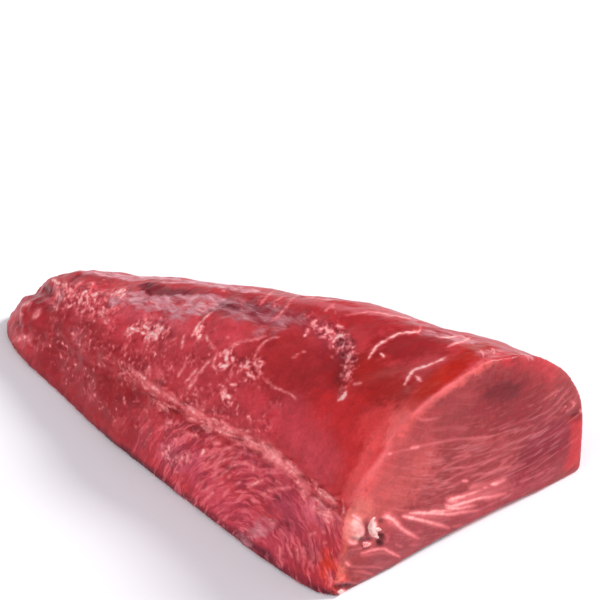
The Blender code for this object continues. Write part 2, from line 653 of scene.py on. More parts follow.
# Line, radii and lifts in mm of the fat lumps and loose strands
CORNER_FAT = (
    (pixels("375.5,517 372,521 371.5,527 373,532 376,536 379,537.5"),
     (0.5, 1.5, 2.2, 2.5, 1.7, 0.5), (-0.3, -0.7, -1.1, -1.3, -0.9, -0.4)),
    (pixels("374,529 378,529.5 382,530"), (0.5, 1.4, 0.4), (-0.3, -0.5, -0.3)),
    (pixels("337,592 344,591.5 351,589.5"), (0.5, 1.7, 0.4), (-0.4, -0.6, -0.3)),
)
CORNER_PINK = (
    (pixels("362,543 366,545 371.5,543.5"), (0.6, 2.0, 0.6), (-0.6, -0.9, -0.6)),
)
TORN_FIBRES = (
    (pixels("317,487 325,492 333,499 338,503"), (0.3, 1.0, 0.9, 0.3), (-0.5, -0.2, -0.2, -0.5)),
    (pixels("301,488 304,492 305.5,498"), (0.3, 1.1, 0.3), (-0.6, -0.4, -0.6)),
    (pixels("311,505 318,512 326,511 333,506"), (0.3, 1.0, 0.9, 0.3), (-0.6, -0.2, -0.2, -0.6)),
    (pixels("262,443 270,449 278,459"), (0.3, 1.2, 0.3), (-0.6, -0.4, -0.6)),
    (pixels("216,428 228,434 243,438"), (0.3, 1.0, 0.3), (-0.6, -0.3, -0.6)),
    (pixels("244,437 252,441 260,448"), (0.3, 1.2, 0.3), (-0.6, -0.3, -0.6)),
    (pixels("181,400 190,407 200,412"), (0.3, 1.0, 0.3), (-0.6, -0.4, -0.6)),
    (pixels("206,419 214,419 222,424"), (0.3, 0.9, 0.3), (-0.6, -0.3, -0.6)),
    (pixels("285,459 292,466 299,475"), (0.3, 0.9, 0.3), (-0.6, -0.4, -0.6)),
    (pixels("480.5,351 482,354 483.5,358"), (0.1, 0.5, 0.1), (-0.2, 0.2, -0.2)),
    (pixels("492.6,349 493.5,351 493.7,355"), (0.1, 0.5, 0.1), (-0.2, 0.2, -0.2)),
)

# Where the knife left pale speckles, which also carry painted glints
FLECKS_AND_GLINTS = areas("""
    45,300 80,292 112,296 | 17 0.9
    20,325 30,312 45,306 | 13 0.4
    134,329 147,323 155,334 165,331 | 11 0.9
    221,361 241,366 256,365 | 9 0.8
    223,388 230,398 | 8 0.8
    312,321 323,330 338,336 348,350 347,370 342,392 | 5 0.7
    60,330 110,345 170,370 220,400 250,425 | 26 0.6
    100,300 170,330 215,350 | 18 0.6
    165,446 190,458 | 10 0.6
    140,405 175,425 210,445 | 12 0.6
    40,345 80,378 125,412 150,435 | 12 0.55
    255,300 290,310 330,318 | 10 0.55
    270,420 300,450 | 16 0.25
    440,335 470,342 | 7 0.5
    335,585 350,592 | 8 0.8
    570,408 560,396 | 8 0.5
""")

# Where flecks crowd and stand up pale, with painted glints on them
GLINT_CLUSTERS = areas("""
    132,330 143,326 152,333 160,330 | 7 1.35
    146,336 155,338 | 5 1.3
    226,352 228,364 221,367 | 5 1.2
    246,362 258,364 251,376 | 6 1.05
    224,392 228,403 | 5 1.15
    332,334 344,344 349,360 346,378 | 7.5 0.95
    343,380 342,392 | 4 0.8
    313,322 322,330 330,333 | 5 1.2
    203,324 198,334 | 4 1.2
    80,296 95,293 | 6 1.3
    114,296 124,291 | 6 1.3
    62,290 84,301 108,306 | 12 1.1
    165,450 170,460 188,458 | 5 1.1
""")

# Where the cut's fibres show most
STREAKED = areas("""
    435,490 480,468 530,450 548,430 | 30 1.0
""")

# Where the silvery film is left, partly a painted sheen of the wet crest
FILM_AND_SHEEN = areas("""
    60,272 78,269 100,273 140,278 200,282 250,290 | 8 0.9
    118,298 140,300 165,303 190,301 | 9 0.95
    178,308 195,309 212,302 | 13 0.85
    222,303 250,311 280,318 | 12 0.4
    262,332 280,326 | 8 0.45
    290,318 315,326 | 6 0.3
    431,333 448,335 465,340 | 9 0.55
    246,538 258,530 266,524 | 9 0.36
    480,353 500,350 530,356 | 4 0.5
""")

# Where the surface is smooth
CALM = areas("""
    345,345 380,360 430,360 | 24 1.0
    300,400 340,430 350,475 | 26 1.0
    370,400 395,425 | 22 1.0
""")

# Tints over the base colours, laid in this order. Most are the flesh's own tone, but some
# are painted light: the bright red, orange and pale pink ones along the rim and at the cut's
# lower corner are a painted glow and highlight of the thin edge; the pale pink ones on the
# tail's rim and lobes are partly painted sheen and highlight; the dark ones in folds, the
# groove and pits, along the foot and between the ridge's lumps are painted shade; and the
# dark red ones on the lower side towards the tail are partly painted shade.
TINTS = areas("""
    30,320 70,330 110,350 150,368 | 30 0.8 #a92c33
    60,292 90,302 112,312 | 15 0.85 #d8565f
    110,300 160,325 220,345 | 24 0.8 #cb424b
    250,395 275,410 295,425 | 14 0.85 #d03840
    228,303 255,311 282,318 | 11 0.9 #822634
    226,430 250,440 266,450 284,464 300,480 318,496 334,508 | 3.5 0.35 #dc5f64
    146,388 170,400 190,410 212,424 | 4 0.25 #d05c64
    249,440 259,446 | 4.5 0.8 #ee8482
    264,449 278,460 | 5 0.85 #ee8482
    302,486 306,498 | 4.5 0.8 #ea7c7c
    314,505 324,514 334,520 | 5 0.8 #ea7c80
    222,428 233,433 | 4.5 0.75 #e87c7a
    189,411 198,415 | 4.5 0.7 #e47674
    148,384 158,391 | 4.5 0.7 #e07070
    286,468 297,476 | 4.5 0.7 #e47676
    170,404 180,412 | 4 0.6 #8c2026
    205,424 216,432 | 4 0.6 #8c2026
    238,447 248,455 | 4 0.6 #8c2026
    282,481 292,492 | 4 0.6 #8c2430
    17,312 26,301 38,297 42,287 50,278 60,272 80,271 | 4 0.4 #cc6c76
    60,284 80,276 110,280 | 4 0.5 #8e2a34
    34,317 38,311 | 3.5 0.45 #dc6c72
    17,320 22,328 | 4 0.7 #a01a28
    46,288 54,294 | 5 0.7 #a41c24
    30,332 42,340 60,344 | 7 0.5 #8c2026
    22,344 30,337 | 3.5 0.35 #d8646c
    70,331 80,338 | 4 0.5 #c86068
    48,300 56,304 | 4 0.5 #d86870
    45,288 52,293 | 4 0.7 #7c1c24
    52,318 60,330 | 6 0.6 #8e242a
    30,325 40,332 | 5 0.5 #97262c
    84,325 100,332 | 6 0.5 #9a262c
    170,350 220,380 250,410 | 26 0.7 #ba3b43
    60,345 90,352 130,372 | 14 0.5 #98262c
    60,300 52,310 | 10 0.6 #a9252c
    147,285 160,292 186,293 | 7 1.0 #7c1a26
    195,290 215,296 | 5 0.6 #8c2430
    125,310 150,318 180,326 | 7 0.55 #d65a64
    236,294 246,298 | 7 0.9 #a3262c
    280,292 300,298 | 6 0.7 #a5242b
    300,312 340,316 400,322 | 14 0.7 #a52226
    275,355 300,372 310,390 | 24 0.85 #a0272a
    296,299 340,307 400,317 | 5 0.45 #cc6a72
    331,345 334,380 334,405 | 8 0.62 #842028
    290,315 312,325 330,340 | 9 0.55 #93303c
    330,332 345,345 347,375 341,395 | 6 0.8 #762030
    360,370 385,390 395,410 | 22 0.9 #a11f1b
    400,345 430,340 | 20 0.85 #901a1e
    330,410 360,440 350,470 | 22 0.9 #bf2b2c
    290,415 310,440 325,465 | 16 0.5 #c04550
    375,420 384,440 370,470 | 15 0.9 #d84041
    352,492 366,458 381,434 397,414 412,404 | 8 0.45 #e65c5a
    400,418 402,432 396,438 | 8 0.5 #e8706c
    431,386 457,364 480,345 | 10 1.0 #ab1d14
    420,395 445,372 | 7 0.6 #bb2c20
    120,390 150,402 190,420 240,432 | 9 0.9 #942126 side
    90,376 140,400 | 9 0.85 #8c2226 side
    150,414 170,424 | 10 0.8 #b02a2c side
    150,430 170,440 192,455 | 14 0.5 #b22a36 side
    118,384 150,394 182,404 | 9 0.5 #a42428
    205,425 235,438 260,450 | 8 0.4 #b23a3e
    100,412 125,430 | 8 0.7 #b4302f side
    40,355 80,390 130,430 | 12 0.8 #981e26 side
    165,455 195,465 | 9 0.55 #cc5a6e side
    200,480 230,510 280,550 | 12 0.8 #bf4150 side
    250,470 290,500 310,540 | 14 0.6 #b63f4c side
    285,505 290,525 | 10 0.7 #9c3548 side
    310,510 325,520 | 7 0.6 #cf5f6e side
    332,520 326,560 322,585 | 7 0.7 #b02a33 side
    328,562 336,582 | 8 1.0 #c8321f
    236,536 252,546 268,558 | 4 0.85 #4c1c2c side
    325,593 335,597 | 4 0.9 #4e141c
    346,525 341,550 338,575 | 7 0.65 #d45c52 cut
    341,548 338,556 | 3 0.6 #b23c38 cut
    346,516 345,530 | 5 0.8 #dd6c66 cut
    354,508 364,512 | 8 0.85 #d97a6a cut
    352,538 362,539 372,538 | 3 0.7 #7a3c40 cut
    366,522 367,530 367,538 | 3.5 0.9 #843840 cut
    355,523 357,528 359,534 | 4.4 1.0 #ecc4b8 cut
    348,522 349,534 353,541 | 3.5 0.6 #e8847a cut
    350,552 345,560 342,570 | 4 0.6 #9e4848 cut
    334,564 340,572 338,580 | 3.5 0.5 #e87262 cut
    378,534 382,539 380,546 | 3 0.6 #7a3038 cut
    336,586 350,585.5 362,585 | 3 0.8 #5c2026 cut
""") + (Patch(RIM, 5.0, 0.7, "#dd6360", Zone.CUT),) + areas("""
    430,522 450,524 470,518 | 6 0.6 #8e3a42 cut
    455,508 475,512 495,503 | 4 0.4 #94404a cut
    372,480 395,440 415,420 | 20 0.42 #c04a4c cut
    413,458 428,438 | 18 0.55 #9e3b3d cut
    545,440 562,428 | 12 0.5 #8a2c38 cut
    385,500 410,470 | 26 0.6 #c65553 cut
    495,490 520,480 540,470 | 11 0.8 #b04c52 cut
    380,565 400,545 440,540 | 16 0.75 #904046 cut
    395,535 420,530 450,535 | 12 0.6 #97383f cut
    506,358 530,362 552,372 | 7 0.9 #b93239 cut
    520,372 550,385 | 12 0.6 #a7373a cut
    494,400 510,400 522,404 | 22 0.75 #862229 cut
    494,392 510,393 | 7 0.9 #6c1a20 cut
    560,440 545,455 530,465 | 18 0.85 #8a2430 cut
    550,425 530,440 | 16 0.5 #8c2a34 cut
    578,425 578,445 572,460 | 8 1.0 #b93238 cut
    570,418 582,416 | 4 0.8 #8c1a20 cut
    560,465 500,505 440,540 | 7 0.5 #a03c46 cut
    402,456 420,442 438,434 | 15 0.45 #9a3639 cut
    535,448 555,438 | 14 0.4 #7c2030 cut
""")


def hex_to_linear(code: str) -> tuple[float, float, float, float]:
    """Turns an sRGB hex colour linear.

    Args:
        code: "#rrggbb".

    Returns:
        Linear red, green, blue and an alpha of 1.
    """
    parts = [int(code[i:i + 2], 16) / 255 for i in (1, 3, 5)]
    linear = [v / 12.92 if v <= 0.04045 else ((v + 0.055) / 1.055) ** 2.4 for v in parts]
    return (*linear, 1.0)


def add_node(tree: bpy.types.NodeTree, kind: str, settings: dict | None = None,
             inputs: dict | None = None) -> bpy.types.Node:
    """Adds one shader node.

    Args:
        tree: the node tree.
        kind: the node's Blender type.
        settings: its properties by name.
        inputs: its sockets by name or number, each a value or another node's output.

    Returns:
        The new node.
    """
    node = tree.nodes.new(kind)
    for name, value in (settings or {}).items():
        setattr(node, name, value)
    for key, value in (inputs or {}).items():
        if isinstance(value, bpy.types.NodeSocket):
            tree.links.new(value, node.inputs[key])
        else:
            node.inputs[key].default_value = value
    return node


def blank_material(name: str) -> bpy.types.Material:
    """Makes a material with no nodes."""
    material = bpy.data.materials.new(name)
    material.use_nodes = True
    material.node_tree.nodes.clear()
    return material


def smooth_step(value: np.ndarray, low: float, high: float) -> np.ndarray:
    """Rises smoothly from 0 at low to 1 at high.

    Args:
        value: what is compared.
        low: where the rise starts.
        high: where it ends. It may be below low, for a fall.

    Returns:
        The rise, of value's shape.
    """
    share = np.clip((value - low) / (high - low), 0.0, 1.0)
    return share * share * (3 - 2 * share)


def noise_over(points: np.ndarray, grain_mm: tuple[float, float, float], seed: float,
               octaves: int) -> np.ndarray:
    """Perlin noise over points.

    Args:
        points: N x 3, in metres.
        grain_mm: size of its lumps along x, y and z.
        seed: a shift that makes one field unlike the next.
        octaves: sizes of lumps, each half of the one before.

    Returns:
        N values of about -1 to 1.
    """
    scaled = points / (np.array(grain_mm) * MM) + seed
    return np.array([noise.fractal(Vector(p), NOISE_FALL, 2.0, octaves) for p in scaled.tolist()])


def distance_to_line(points: np.ndarray, line: np.ndarray,
                     reach: float) -> tuple[np.ndarray, np.ndarray]:
    """How far points lie from a line.

    Args:
        points: N x 3.
        line: M x 3, its corners in order.
        reach: points further away are left at infinity.

    Returns:
        The distance of each point, and how far along the line its nearest place is, 0 to 1.
    """
    distance = np.full(len(points), np.inf)
    share = np.zeros(len(points))
    near = np.all((points > line.min(0) - reach) & (points < line.max(0) + reach), axis=1)
    if not near.any():
        return distance, share
    chosen = points[near]
    best = np.full(len(chosen), np.inf)
    place = np.zeros(len(chosen))
    spans = max(len(line) - 1, 1)
    for index in range(spans):
        start = line[index]
        run = line[min(index + 1, len(line) - 1)] - start
        along = np.clip((chosen - start) @ run / max(float(run @ run), 1e-12), 0, 1)
        gap = np.linalg.norm(chosen - start - along[:, None] * run, axis=1)
        closer = gap < best
        best[closer] = gap[closer]
        place[closer] = (index + along[closer]) / spans
    distance[near] = best
    share[near] = place
    return distance, share


def smooth_course(points: np.ndarray, spacing: float) -> np.ndarray:
    """Runs a Catmull-Rom curve through points.

    Args:
        points: N x D.
        spacing: the distance between its samples.

    Returns:
        M x D samples, the first and last being the line's ends.
    """
    if len(points) < 2:
        return points
    padded = np.vstack([2 * points[0] - points[1], points, 2 * points[-1] - points[-2]])
    samples = [points[0]]
    for index in range(len(points) - 1):
        p0, p1, p2, p3 = padded[index:index + 4]
        count = max(1, int(round(float(np.linalg.norm(p2 - p1)) / spacing)))
        for step in range(1, count + 1):
            t = step / count
            samples.append(0.5 * (2 * p1 + (p2 - p0) * t + (2 * p0 - 5 * p1 + 4 * p2 - p3) * t ** 2
                                  + (3 * p1 - p0 - 3 * p2 + p3) * t ** 3))
    return np.array(samples)


def meet(tree: BVHTree, rays: list[tuple[Vector, Vector]]) -> np.ndarray:
    """Finds where rays meet the form.

    Args:
        tree: the form's faces.
        rays: the start and the way of each.

    Returns:
        M x 3 points. Rays that miss are dropped.
    """
    hits = [tree.ray_cast(start, way)[0] for start, way in rays]
    return np.array([hit for hit in hits if hit is not None]).reshape(-1, 3)


def select_only(piece: bpy.types.Object) -> None:
    """Deselects all and makes one piece selected and active."""
    bpy.ops.object.select_all(action="DESELECT")
    piece.select_set(True)
    bpy.context.view_layer.objects.active = piece


def apply_modifier(piece: bpy.types.Object, kind: str, settings: dict) -> None:
    """Adds a modifier to a piece and applies it.

    Args:
        piece: the object.
        kind: the modifier's Blender type.
        settings: its properties by name.
    """
    select_only(piece)
    modifier = piece.modifiers.new(kind.lower(), kind)
    for name, value in settings.items():
        setattr(modifier, name, value)
    bpy.ops.object.modifier_apply(modifier=modifier.name)


def read_vectors(items: bpy.types.bpy_prop_collection, key: str) -> np.ndarray:
    """One vector of each vertex or face, N x 3."""
    values = np.empty(len(items) * 3, np.float32)
    items.foreach_get(key, values)
    return values.reshape(-1, 3).astype(float)


def read_points(mesh: bpy.types.Mesh) -> tuple[np.ndarray, np.ndarray]:
    """A mesh's vertices and their normals, each N x 3."""
    return read_vectors(mesh.vertices, "co"), read_vectors(mesh.vertices, "normal")


def write_points(mesh: bpy.types.Mesh, points: np.ndarray) -> None:
    """Moves a mesh's vertices to N x 3 points."""
    mesh.vertices.foreach_set("co", points.astype(np.float32).ravel())
    mesh.update()


def select_faces(piece: bpy.types.Object, chosen: np.ndarray) -> None:
    """Selects faces of a piece by a mask and opens it in face edit mode.

    Args:
        piece: the object.
        chosen: one bool a face.
    """
    select_only(piece)
    bpy.context.tool_settings.mesh_select_mode = (False, False, True)
    bpy.ops.object.mode_set(mode="EDIT")
    bpy.ops.mesh.select_all(action="DESELECT")
    bpy.ops.object.mode_set(mode="OBJECT")
    piece.data.polygons.foreach_set("select", chosen.astype(bool))
    bpy.ops.object.mode_set(mode="EDIT")


def hand_over(piece: bpy.types.Object, material: bpy.types.Material) -> None:
    """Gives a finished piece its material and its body.

    Args:
        piece: the object.
        material: its finish.
    """
    piece.data.materials.clear()
    piece.data.materials.append(material)
    select_only(piece)
    bpy.ops.object.shade_smooth()
    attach(piece, BODY)
    faces = piece.data.polygons
    LOG.info("%s: %d faces, %d triangles", piece.name, len(faces),
             sum(face.loop_total - 2 for face in faces))


@dataclass
class PhotoCamera:
    """The camera of the photograph, and rays through its pixels.

    Attributes:
        turn: degrees from +X to the picture's right.
        elevation: degrees above the surface.
        distance: metres from the point looked at.
        target: the point looked at.
        lens_mm: focal length.
        sensor_mm: width of the sensor.
        depth_share: how much of their depth flattened points keep.
        clip_start: metres before which nothing is seen.
    """

    turn: float = 49.26
    elevation: float = 30.0
    distance: float = 1.35
    target: tuple[float, float, float] = (0.0084, 0.0244, 0.0565)
    lens_mm: float = 161.5
    sensor_mm: float = 36.0
    depth_share: float = 0.3
    clip_start: float = 0.05

    def axes(self) -> tuple[np.ndarray, np.ndarray, np.ndarray]:
        """The picture's right, its up, and the way back to the camera."""
        turn, lift = math.radians(self.turn), math.radians(self.elevation)
        right = np.array([math.cos(turn), math.sin(turn), 0.0])
        back = np.array([math.sin(turn) * math.cos(lift), -math.cos(turn) * math.cos(lift),
                         math.sin(lift)])
        return right, np.cross(back, right), back

    def place(self) -> np.ndarray:
        """Where the camera stands."""
        return np.array(self.target) + self.axes()[2] * self.distance

    def build(self) -> None:
        """Makes the camera and sets it as the scene's."""
        bpy.ops.object.camera_add(location=Vector(self.place()))
        camera = bpy.context.object
        camera.name = "photo_camera"
        camera.rotation_euler = Vector(self.axes()[2]).to_track_quat("Z", "Y").to_euler()
        camera.data.lens = self.lens_mm
        camera.data.sensor_width = self.sensor_mm
        camera.data.clip_start = self.clip_start
        bpy.context.scene.camera = camera

    def flatten(self, points: np.ndarray) -> np.ndarray:
        """Turns points to the picture's axes and shortens their depth.

        Args:
            points: N x 3.

        Returns:
            N x 3, so that a stroke measured here is as wide as the photograph shows it.
        """
        right, up, back = self.axes()
        return points @ np.column_stack([right, up, self.depth_share * back])

    def cast(self, tree: BVHTree, line: Line, spacing_px: float = 2.5) -> np.ndarray:
        """Casts a line of pixels onto the form.

        Args:
            tree: the form's faces.
            line: photograph pixels.
            spacing_px: distance between the rays.

        Returns:
            M x 3 points where the rays meet the form. Rays that miss are dropped.
        """
        right, up, back = self.axes()
        focal = self.lens_mm / self.sensor_mm * IMAGE_SIZE
        start, middle = Vector(self.place()), IMAGE_SIZE / 2
        return meet(tree, [
            (start, Vector((right * (x - middle) + up * (middle - y)) / focal - back))
            for x, y in smooth_course(np.array(line, float), spacing_px)])


@dataclass(frozen=True)
class FleshFinish:
    """Raw tuna muscle, trimmed with a knife and wet.

    The knife leaves short fibres and speckles, and the juice on them gives small hard glints
    over a soft red body; the glints are partly painted as pale colour, the film partly as
    painted sheen, and folds, gaps, pits and the foot are darkened with painted shade. Light
    enters a few millimetres, red more than green and blue.
    """

    name: str = "raw_tuna_muscle_knife_trimmed_wet"
    top: str = "#b5343a"
    side: str = "#ba353d"
    far: str = "#932c36"
    cut: str = "#933538"
    under: str = "#b04a50"
    # Painted shade along the near side's foot, where it meets the floor
    foot: str = "#4a1822"
    pale_fibre: str = "#ee767a"
    # Whitest sinew, and painted highlight where the white strokes stand for glints
    white_fibre_and_glint: str = "#fbccc4"
    # Painted highlight: the glints of wet juice on the flecks
    painted_glint: str = "#f8b4b0"
    # Silvery film, partly silver skin and partly painted sheen of the wet surface
    film: str = "#ce868e"
    film_sheen_light: str = "#ecb4b8"
    side_fibre: str = "#de6872"
    torn_fibre: str = "#f29290"
    cut_fibre: str = "#d27c80"
    core: str = "#7a222c"
    dark_muscle: str = "#86202a"
    # Darker red in the low gaps between the ridge's torn fibres, partly painted shade
    gap_red_and_shade: str = "#941a20"
    dark_side: str = "#922a38"
    ior: float = 1.38
    roughness: float = 0.36
    specular: float = 0.16
    coat: float = 0.07
    wet_coat: float = 0.26
    coat_roughness: float = 0.14
    subsurface: float = 0.14
    coat_ior: float = 1.36
    film_matt: float = 0.12
    grain_relief_mm: float = 0.10
    scatter_mm: tuple[float, float, float] = (3.2, 0.8, 0.6)
    # Degrees from +X of the strokes that the knife left
    knife_turn: float = 49.0

    def build(self) -> bpy.types.Material:
        """Makes the material.

        Returns:
            The material, which reads the flesh's painted attributes.
        """
        material = blank_material(self.name)
        tree = material.node_tree
        place = add_node(tree, "ShaderNodeTexCoord").outputs["Object"]
        mask = {key: add_node(tree, "ShaderNodeAttribute", {"attribute_name": key}).outputs["Fac"]
                for key in ("sinew", "film", "fleck_and_glint", "fray", "side", "cut", "core", "dark")}
        tint = add_node(tree, "ShaderNodeAttribute", {"attribute_name": "tint"}).outputs["Color"]
        lay = add_node(tree, "ShaderNodeAttribute", {"attribute_name": "fibre"}).outputs["Vector"]
        grain = self.patterns(tree, place, lay)
        colour = self.colour(tree, tint, mask, grain)
        height = self.height(tree, mask, grain)
        bump = add_node(tree, "ShaderNodeBump", None,
                        {"Strength": 1.0, "Distance": 1.0, "Height": height})
        gloss = add_node(tree, "ShaderNodeMapRange", None,
                         {0: grain["mottle"], 1: 0.3, 2: 0.7, 3: self.roughness - 0.07,
                          4: self.roughness + 0.08})
        matt = add_node(tree, "ShaderNodeMath", {"operation": "MULTIPLY_ADD"},
                        {0: mask["film"], 1: self.film_matt, 2: gloss.outputs[0]})
        wet = add_node(tree, "ShaderNodeMath", {"operation": "MAXIMUM", "use_clamp": True},
                       {0: mask["sinew"], 1: mask["fleck_and_glint"]})
        coat = add_node(tree, "ShaderNodeMath", {"operation": "MULTIPLY_ADD"},
                        {0: wet.outputs[0], 1: self.wet_coat, 2: self.coat})
        shader = add_node(tree, "ShaderNodeBsdfPrincipled", None, {
            "Base Color": colour, "Roughness": matt.outputs[0], "Normal": bump.outputs[0],
            "IOR": self.ior, "Specular IOR Level": self.specular,
            "Subsurface Weight": self.subsurface, "Subsurface Scale": 1.0,
            "Subsurface Radius": tuple(v * MM for v in self.scatter_mm),
            "Coat Weight": coat.outputs[0], "Coat Roughness": self.coat_roughness,
            "Coat IOR": self.coat_ior})
        add_node(tree, "ShaderNodeOutputMaterial", None, {"Surface": shader.outputs[0]})
        return material

    def patterns(self, tree: bpy.types.NodeTree, place: bpy.types.NodeSocket,
                 lay: bpy.types.NodeSocket) -> dict[str, bpy.types.NodeSocket]:
        """Makes the patterns that colour and relief share.

        Args:
            tree: the material's nodes.
            place: object coordinates.
            lay: distance along and across the fibres, painted on the flesh.

        Returns:
            Each pattern's output, about 0 to 1.
        """
        plain = {"mottle": (9.0, 5.0, 0.62), "cloud": (30.0, 3.0, 0.5), "grain": (1.3, 3.0, 0.6)}
        result = {key: add_node(tree, "ShaderNodeTexNoise", None, {
            "Vector": place, "Scale": 1 / (size * MM), "Detail": detail, "Roughness": rough,
        }).outputs["Fac"] for key, (size, detail, rough) in plain.items()}
        # Space, size in mm, turn, detail and distortion
        stretched = {"veil": (place, (15.0, 5.0, 5.0), 0, 3.0, 0.5),
                     "along": (place, (8.0, 2.8, 2.8), 0, 2.0, 0.4),
                     "blob": (place, (2.3, 4.2, 2.3), self.knife_turn, 1.0, 0.0),
                     "fibres": (lay, (7.0, 2.1, 5.0), 0, 2.0, 0.5)}
        for key, (space, size, turn, detail, distortion) in stretched.items():
            scaled = add_node(tree, "ShaderNodeMapping", {"vector_type": "TEXTURE"}, {
                "Vector": space, "Rotation": (0.0, 0.0, math.radians(turn)),
                "Scale": tuple(v * MM for v in size)})
            result[key] = add_node(tree, "ShaderNodeTexNoise", None, {
                "Vector": scaled.outputs[0], "Scale": 1.0, "Detail": detail, "Roughness": 0.55,
                "Distortion": distortion}).outputs["Fac"]
        centre = add_node(tree, "ShaderNodeMapping", None, {
            "Vector": place, "Location": (0.0, -CORE_CENTRE[1], -CORE_CENTRE[2])})
        result["core_rings"] = add_node(
            tree, "ShaderNodeTexWave", {"wave_type": "RINGS", "rings_direction": "X"},
            {"Vector": centre.outputs[0], "Scale": WAVE_RING / (4.6 * MM), "Distortion": 5.0,
             "Detail": 2.0, "Detail Scale": 1.5}).outputs["Fac"]
        return result

    def colour(self, tree: bpy.types.NodeTree, tint: bpy.types.NodeSocket,
               mask: dict[str, bpy.types.NodeSocket],
               grain: dict[str, bpy.types.NodeSocket]) -> bpy.types.NodeSocket:
        """Lays the finishes over the painted tint.

        Args:
            tree: the material's nodes.
            tint: the painted colour.
            mask: the painted masks.
            grain: the patterns.

        Returns:
            The base colour.
        """
        colour = tint
        shades = (("mottle", 0.30, 0.70, 0.87, 1.13), ("cloud", 0.35, 0.65, 0.93, 1.07),
                  ("grain", 0.30, 0.70, 0.91, 1.09), ("fibres", 0.30, 0.70, 0.94, 1.06))
        for key, low, high, dark, light in shades:
            value = add_node(tree, "ShaderNodeMapRange", None,
                             {0: grain[key], 1: low, 2: high, 3: dark, 4: light})
            colour = add_node(tree, "ShaderNodeVectorMath", {"operation": "SCALE"},
                              {0: colour, "Scale": value.outputs[0]}).outputs[0]
        # Pattern, how far its mask widens it, where it starts and is full, mask, colour, strength
        layers = (("mottle", 0.0, 0.50, 0.34, "fleck_and_glint", self.dark_muscle, 0.45),
                  ("mottle", 0.05, 0.54, 0.72, "fleck_and_glint", self.pale_fibre, 0.28),
                  ("blob", -0.10, 0.44, 0.22, "fleck_and_glint", self.dark_muscle, 0.58),
                  # Partly painted shade in the low gaps between torn fibres
                  ("along", -0.02, 0.50, 0.34, "fray", self.gap_red_and_shade, 0.75),
                  ("along", 0.20, 0.60, 0.82, "fray", self.torn_fibre, 0.65),
                  ("blob", 0.22, 0.62, 0.90, "fleck_and_glint", self.pale_fibre, 0.72),
                  # Painted highlight: glints on the highest of the flecks' speckles
                  ("blob", 0.24, 0.80, 0.98, "fleck_and_glint", self.painted_glint, 0.75),
                  ("mottle", 0.0, 0.50, 0.34, "side", self.dark_side, 0.45),
                  ("mottle", 0.0, 0.54, 0.72, "side", self.side_fibre, 0.25),
                  ("fibres", -0.04, 0.50, 0.30, "side", self.dark_side, 0.80),
                  ("fibres", 0.12, 0.57, 0.80, "side", self.side_fibre, 0.78),
                  ("fibres", 0.00, 0.48, 0.30, "cut", self.core, 0.20),
                  ("fibres", 0.06, 0.52, 0.82, "cut", self.cut_fibre, 0.38),
                  ("core_rings", 0.20, 0.40, 1.20, "core", self.core, 0.30),
                  # Partly painted sheen: the film's colours
                  ("veil", 0.16, 0.42, 0.74, "film", self.film, 0.92),
                  ("along", 0.00, 0.47, 0.32, "film", self.dark_muscle, 0.50),
                  ("along", 0.08, 0.56, 0.76, "film", self.film_sheen_light, 0.54))
        for pattern, spread, low, high, where, code, strength in layers:
            raised = add_node(tree, "ShaderNodeMath", {"operation": "MULTIPLY_ADD"},
                              {0: mask[where], 1: spread, 2: grain[pattern]})
            amount = add_node(tree, "ShaderNodeMapRange", {"interpolation_type": "SMOOTHSTEP"},
                              {0: raised.outputs[0], 1: low, 2: high, 3: 0.0, 4: strength})
            edge = add_node(tree, "ShaderNodeMapRange", {"interpolation_type": "SMOOTHSTEP"},
                            {0: mask[where], 1: 0.0, 2: 0.7})
            share = add_node(tree, "ShaderNodeMath", {"operation": "MULTIPLY"},
                             {0: amount.outputs[0], 1: edge.outputs[0]})
            colour = add_node(tree, "ShaderNodeMix", {"data_type": "RGBA"},
                              {0: share.outputs[0], 6: colour, 7: hex_to_linear(code)}).outputs[2]
        # Pale sinews, with painted highlights where the short white strokes and the rim stand for
        # glints
        pale = add_node(tree, "ShaderNodeMapRange", {"interpolation_type": "SMOOTHSTEP"},
                        {0: mask["sinew"], 1: 0.35, 2: 0.95})
        fibre = add_node(tree, "ShaderNodeMix", {"data_type": "RGBA"},
                         {0: pale.outputs[0], 6: hex_to_linear(self.pale_fibre),
                          7: hex_to_linear(self.white_fibre_and_glint)})
        share = add_node(tree, "ShaderNodeMapRange", {"interpolation_type": "SMOOTHSTEP"},
                         {0: mask["sinew"], 1: 0.05, 2: 0.75, 3: 0.0, 4: 0.95})
        colour = add_node(tree, "ShaderNodeMix", {"data_type": "RGBA"},
                          {0: share.outputs[0], 6: colour, 7: fibre.outputs[2]}).outputs[2]
        # Painted shade: folds, gaps and pits are darkened as deep as they sink
        shade = add_node(tree, "ShaderNodeMapRange", None, {0: mask["dark"], 3: 1.0, 4: 0.42})
        return add_node(tree, "ShaderNodeVectorMath", {"operation": "SCALE"},
                        {0: colour, "Scale": shade.outputs[0]}).outputs[0]

    def height(self, tree: bpy.types.NodeTree, mask: dict[str, bpy.types.NodeSocket],
               grain: dict[str, bpy.types.NodeSocket]) -> bpy.types.NodeSocket:
        """Adds up the relief that is finer than the mesh.

        Args:
            tree: the material's nodes.
            mask: the painted masks.
            grain: the patterns.

        Returns:
            The height in metres.
        """
        height = add_node(tree, "ShaderNodeMath", {"operation": "MULTIPLY"},
                          {0: grain["grain"], 1: self.grain_relief_mm * MM}).outputs[0]
        reliefs = (("blob", "fleck_and_glint", 0.26), ("along", "fray", 0.26), ("fibres", "side", 0.22),
                   ("fibres", "cut", 0.03))
        for pattern, where, size_mm in reliefs:
            part = add_node(tree, "ShaderNodeMath", {"operation": "MULTIPLY"},
                            {0: grain[pattern], 1: mask[where]})
            height = add_node(tree, "ShaderNodeMath", {"operation": "MULTIPLY_ADD"},
                              {0: part.outputs[0], 1: size_mm * MM, 2: height}).outputs[0]
        return height


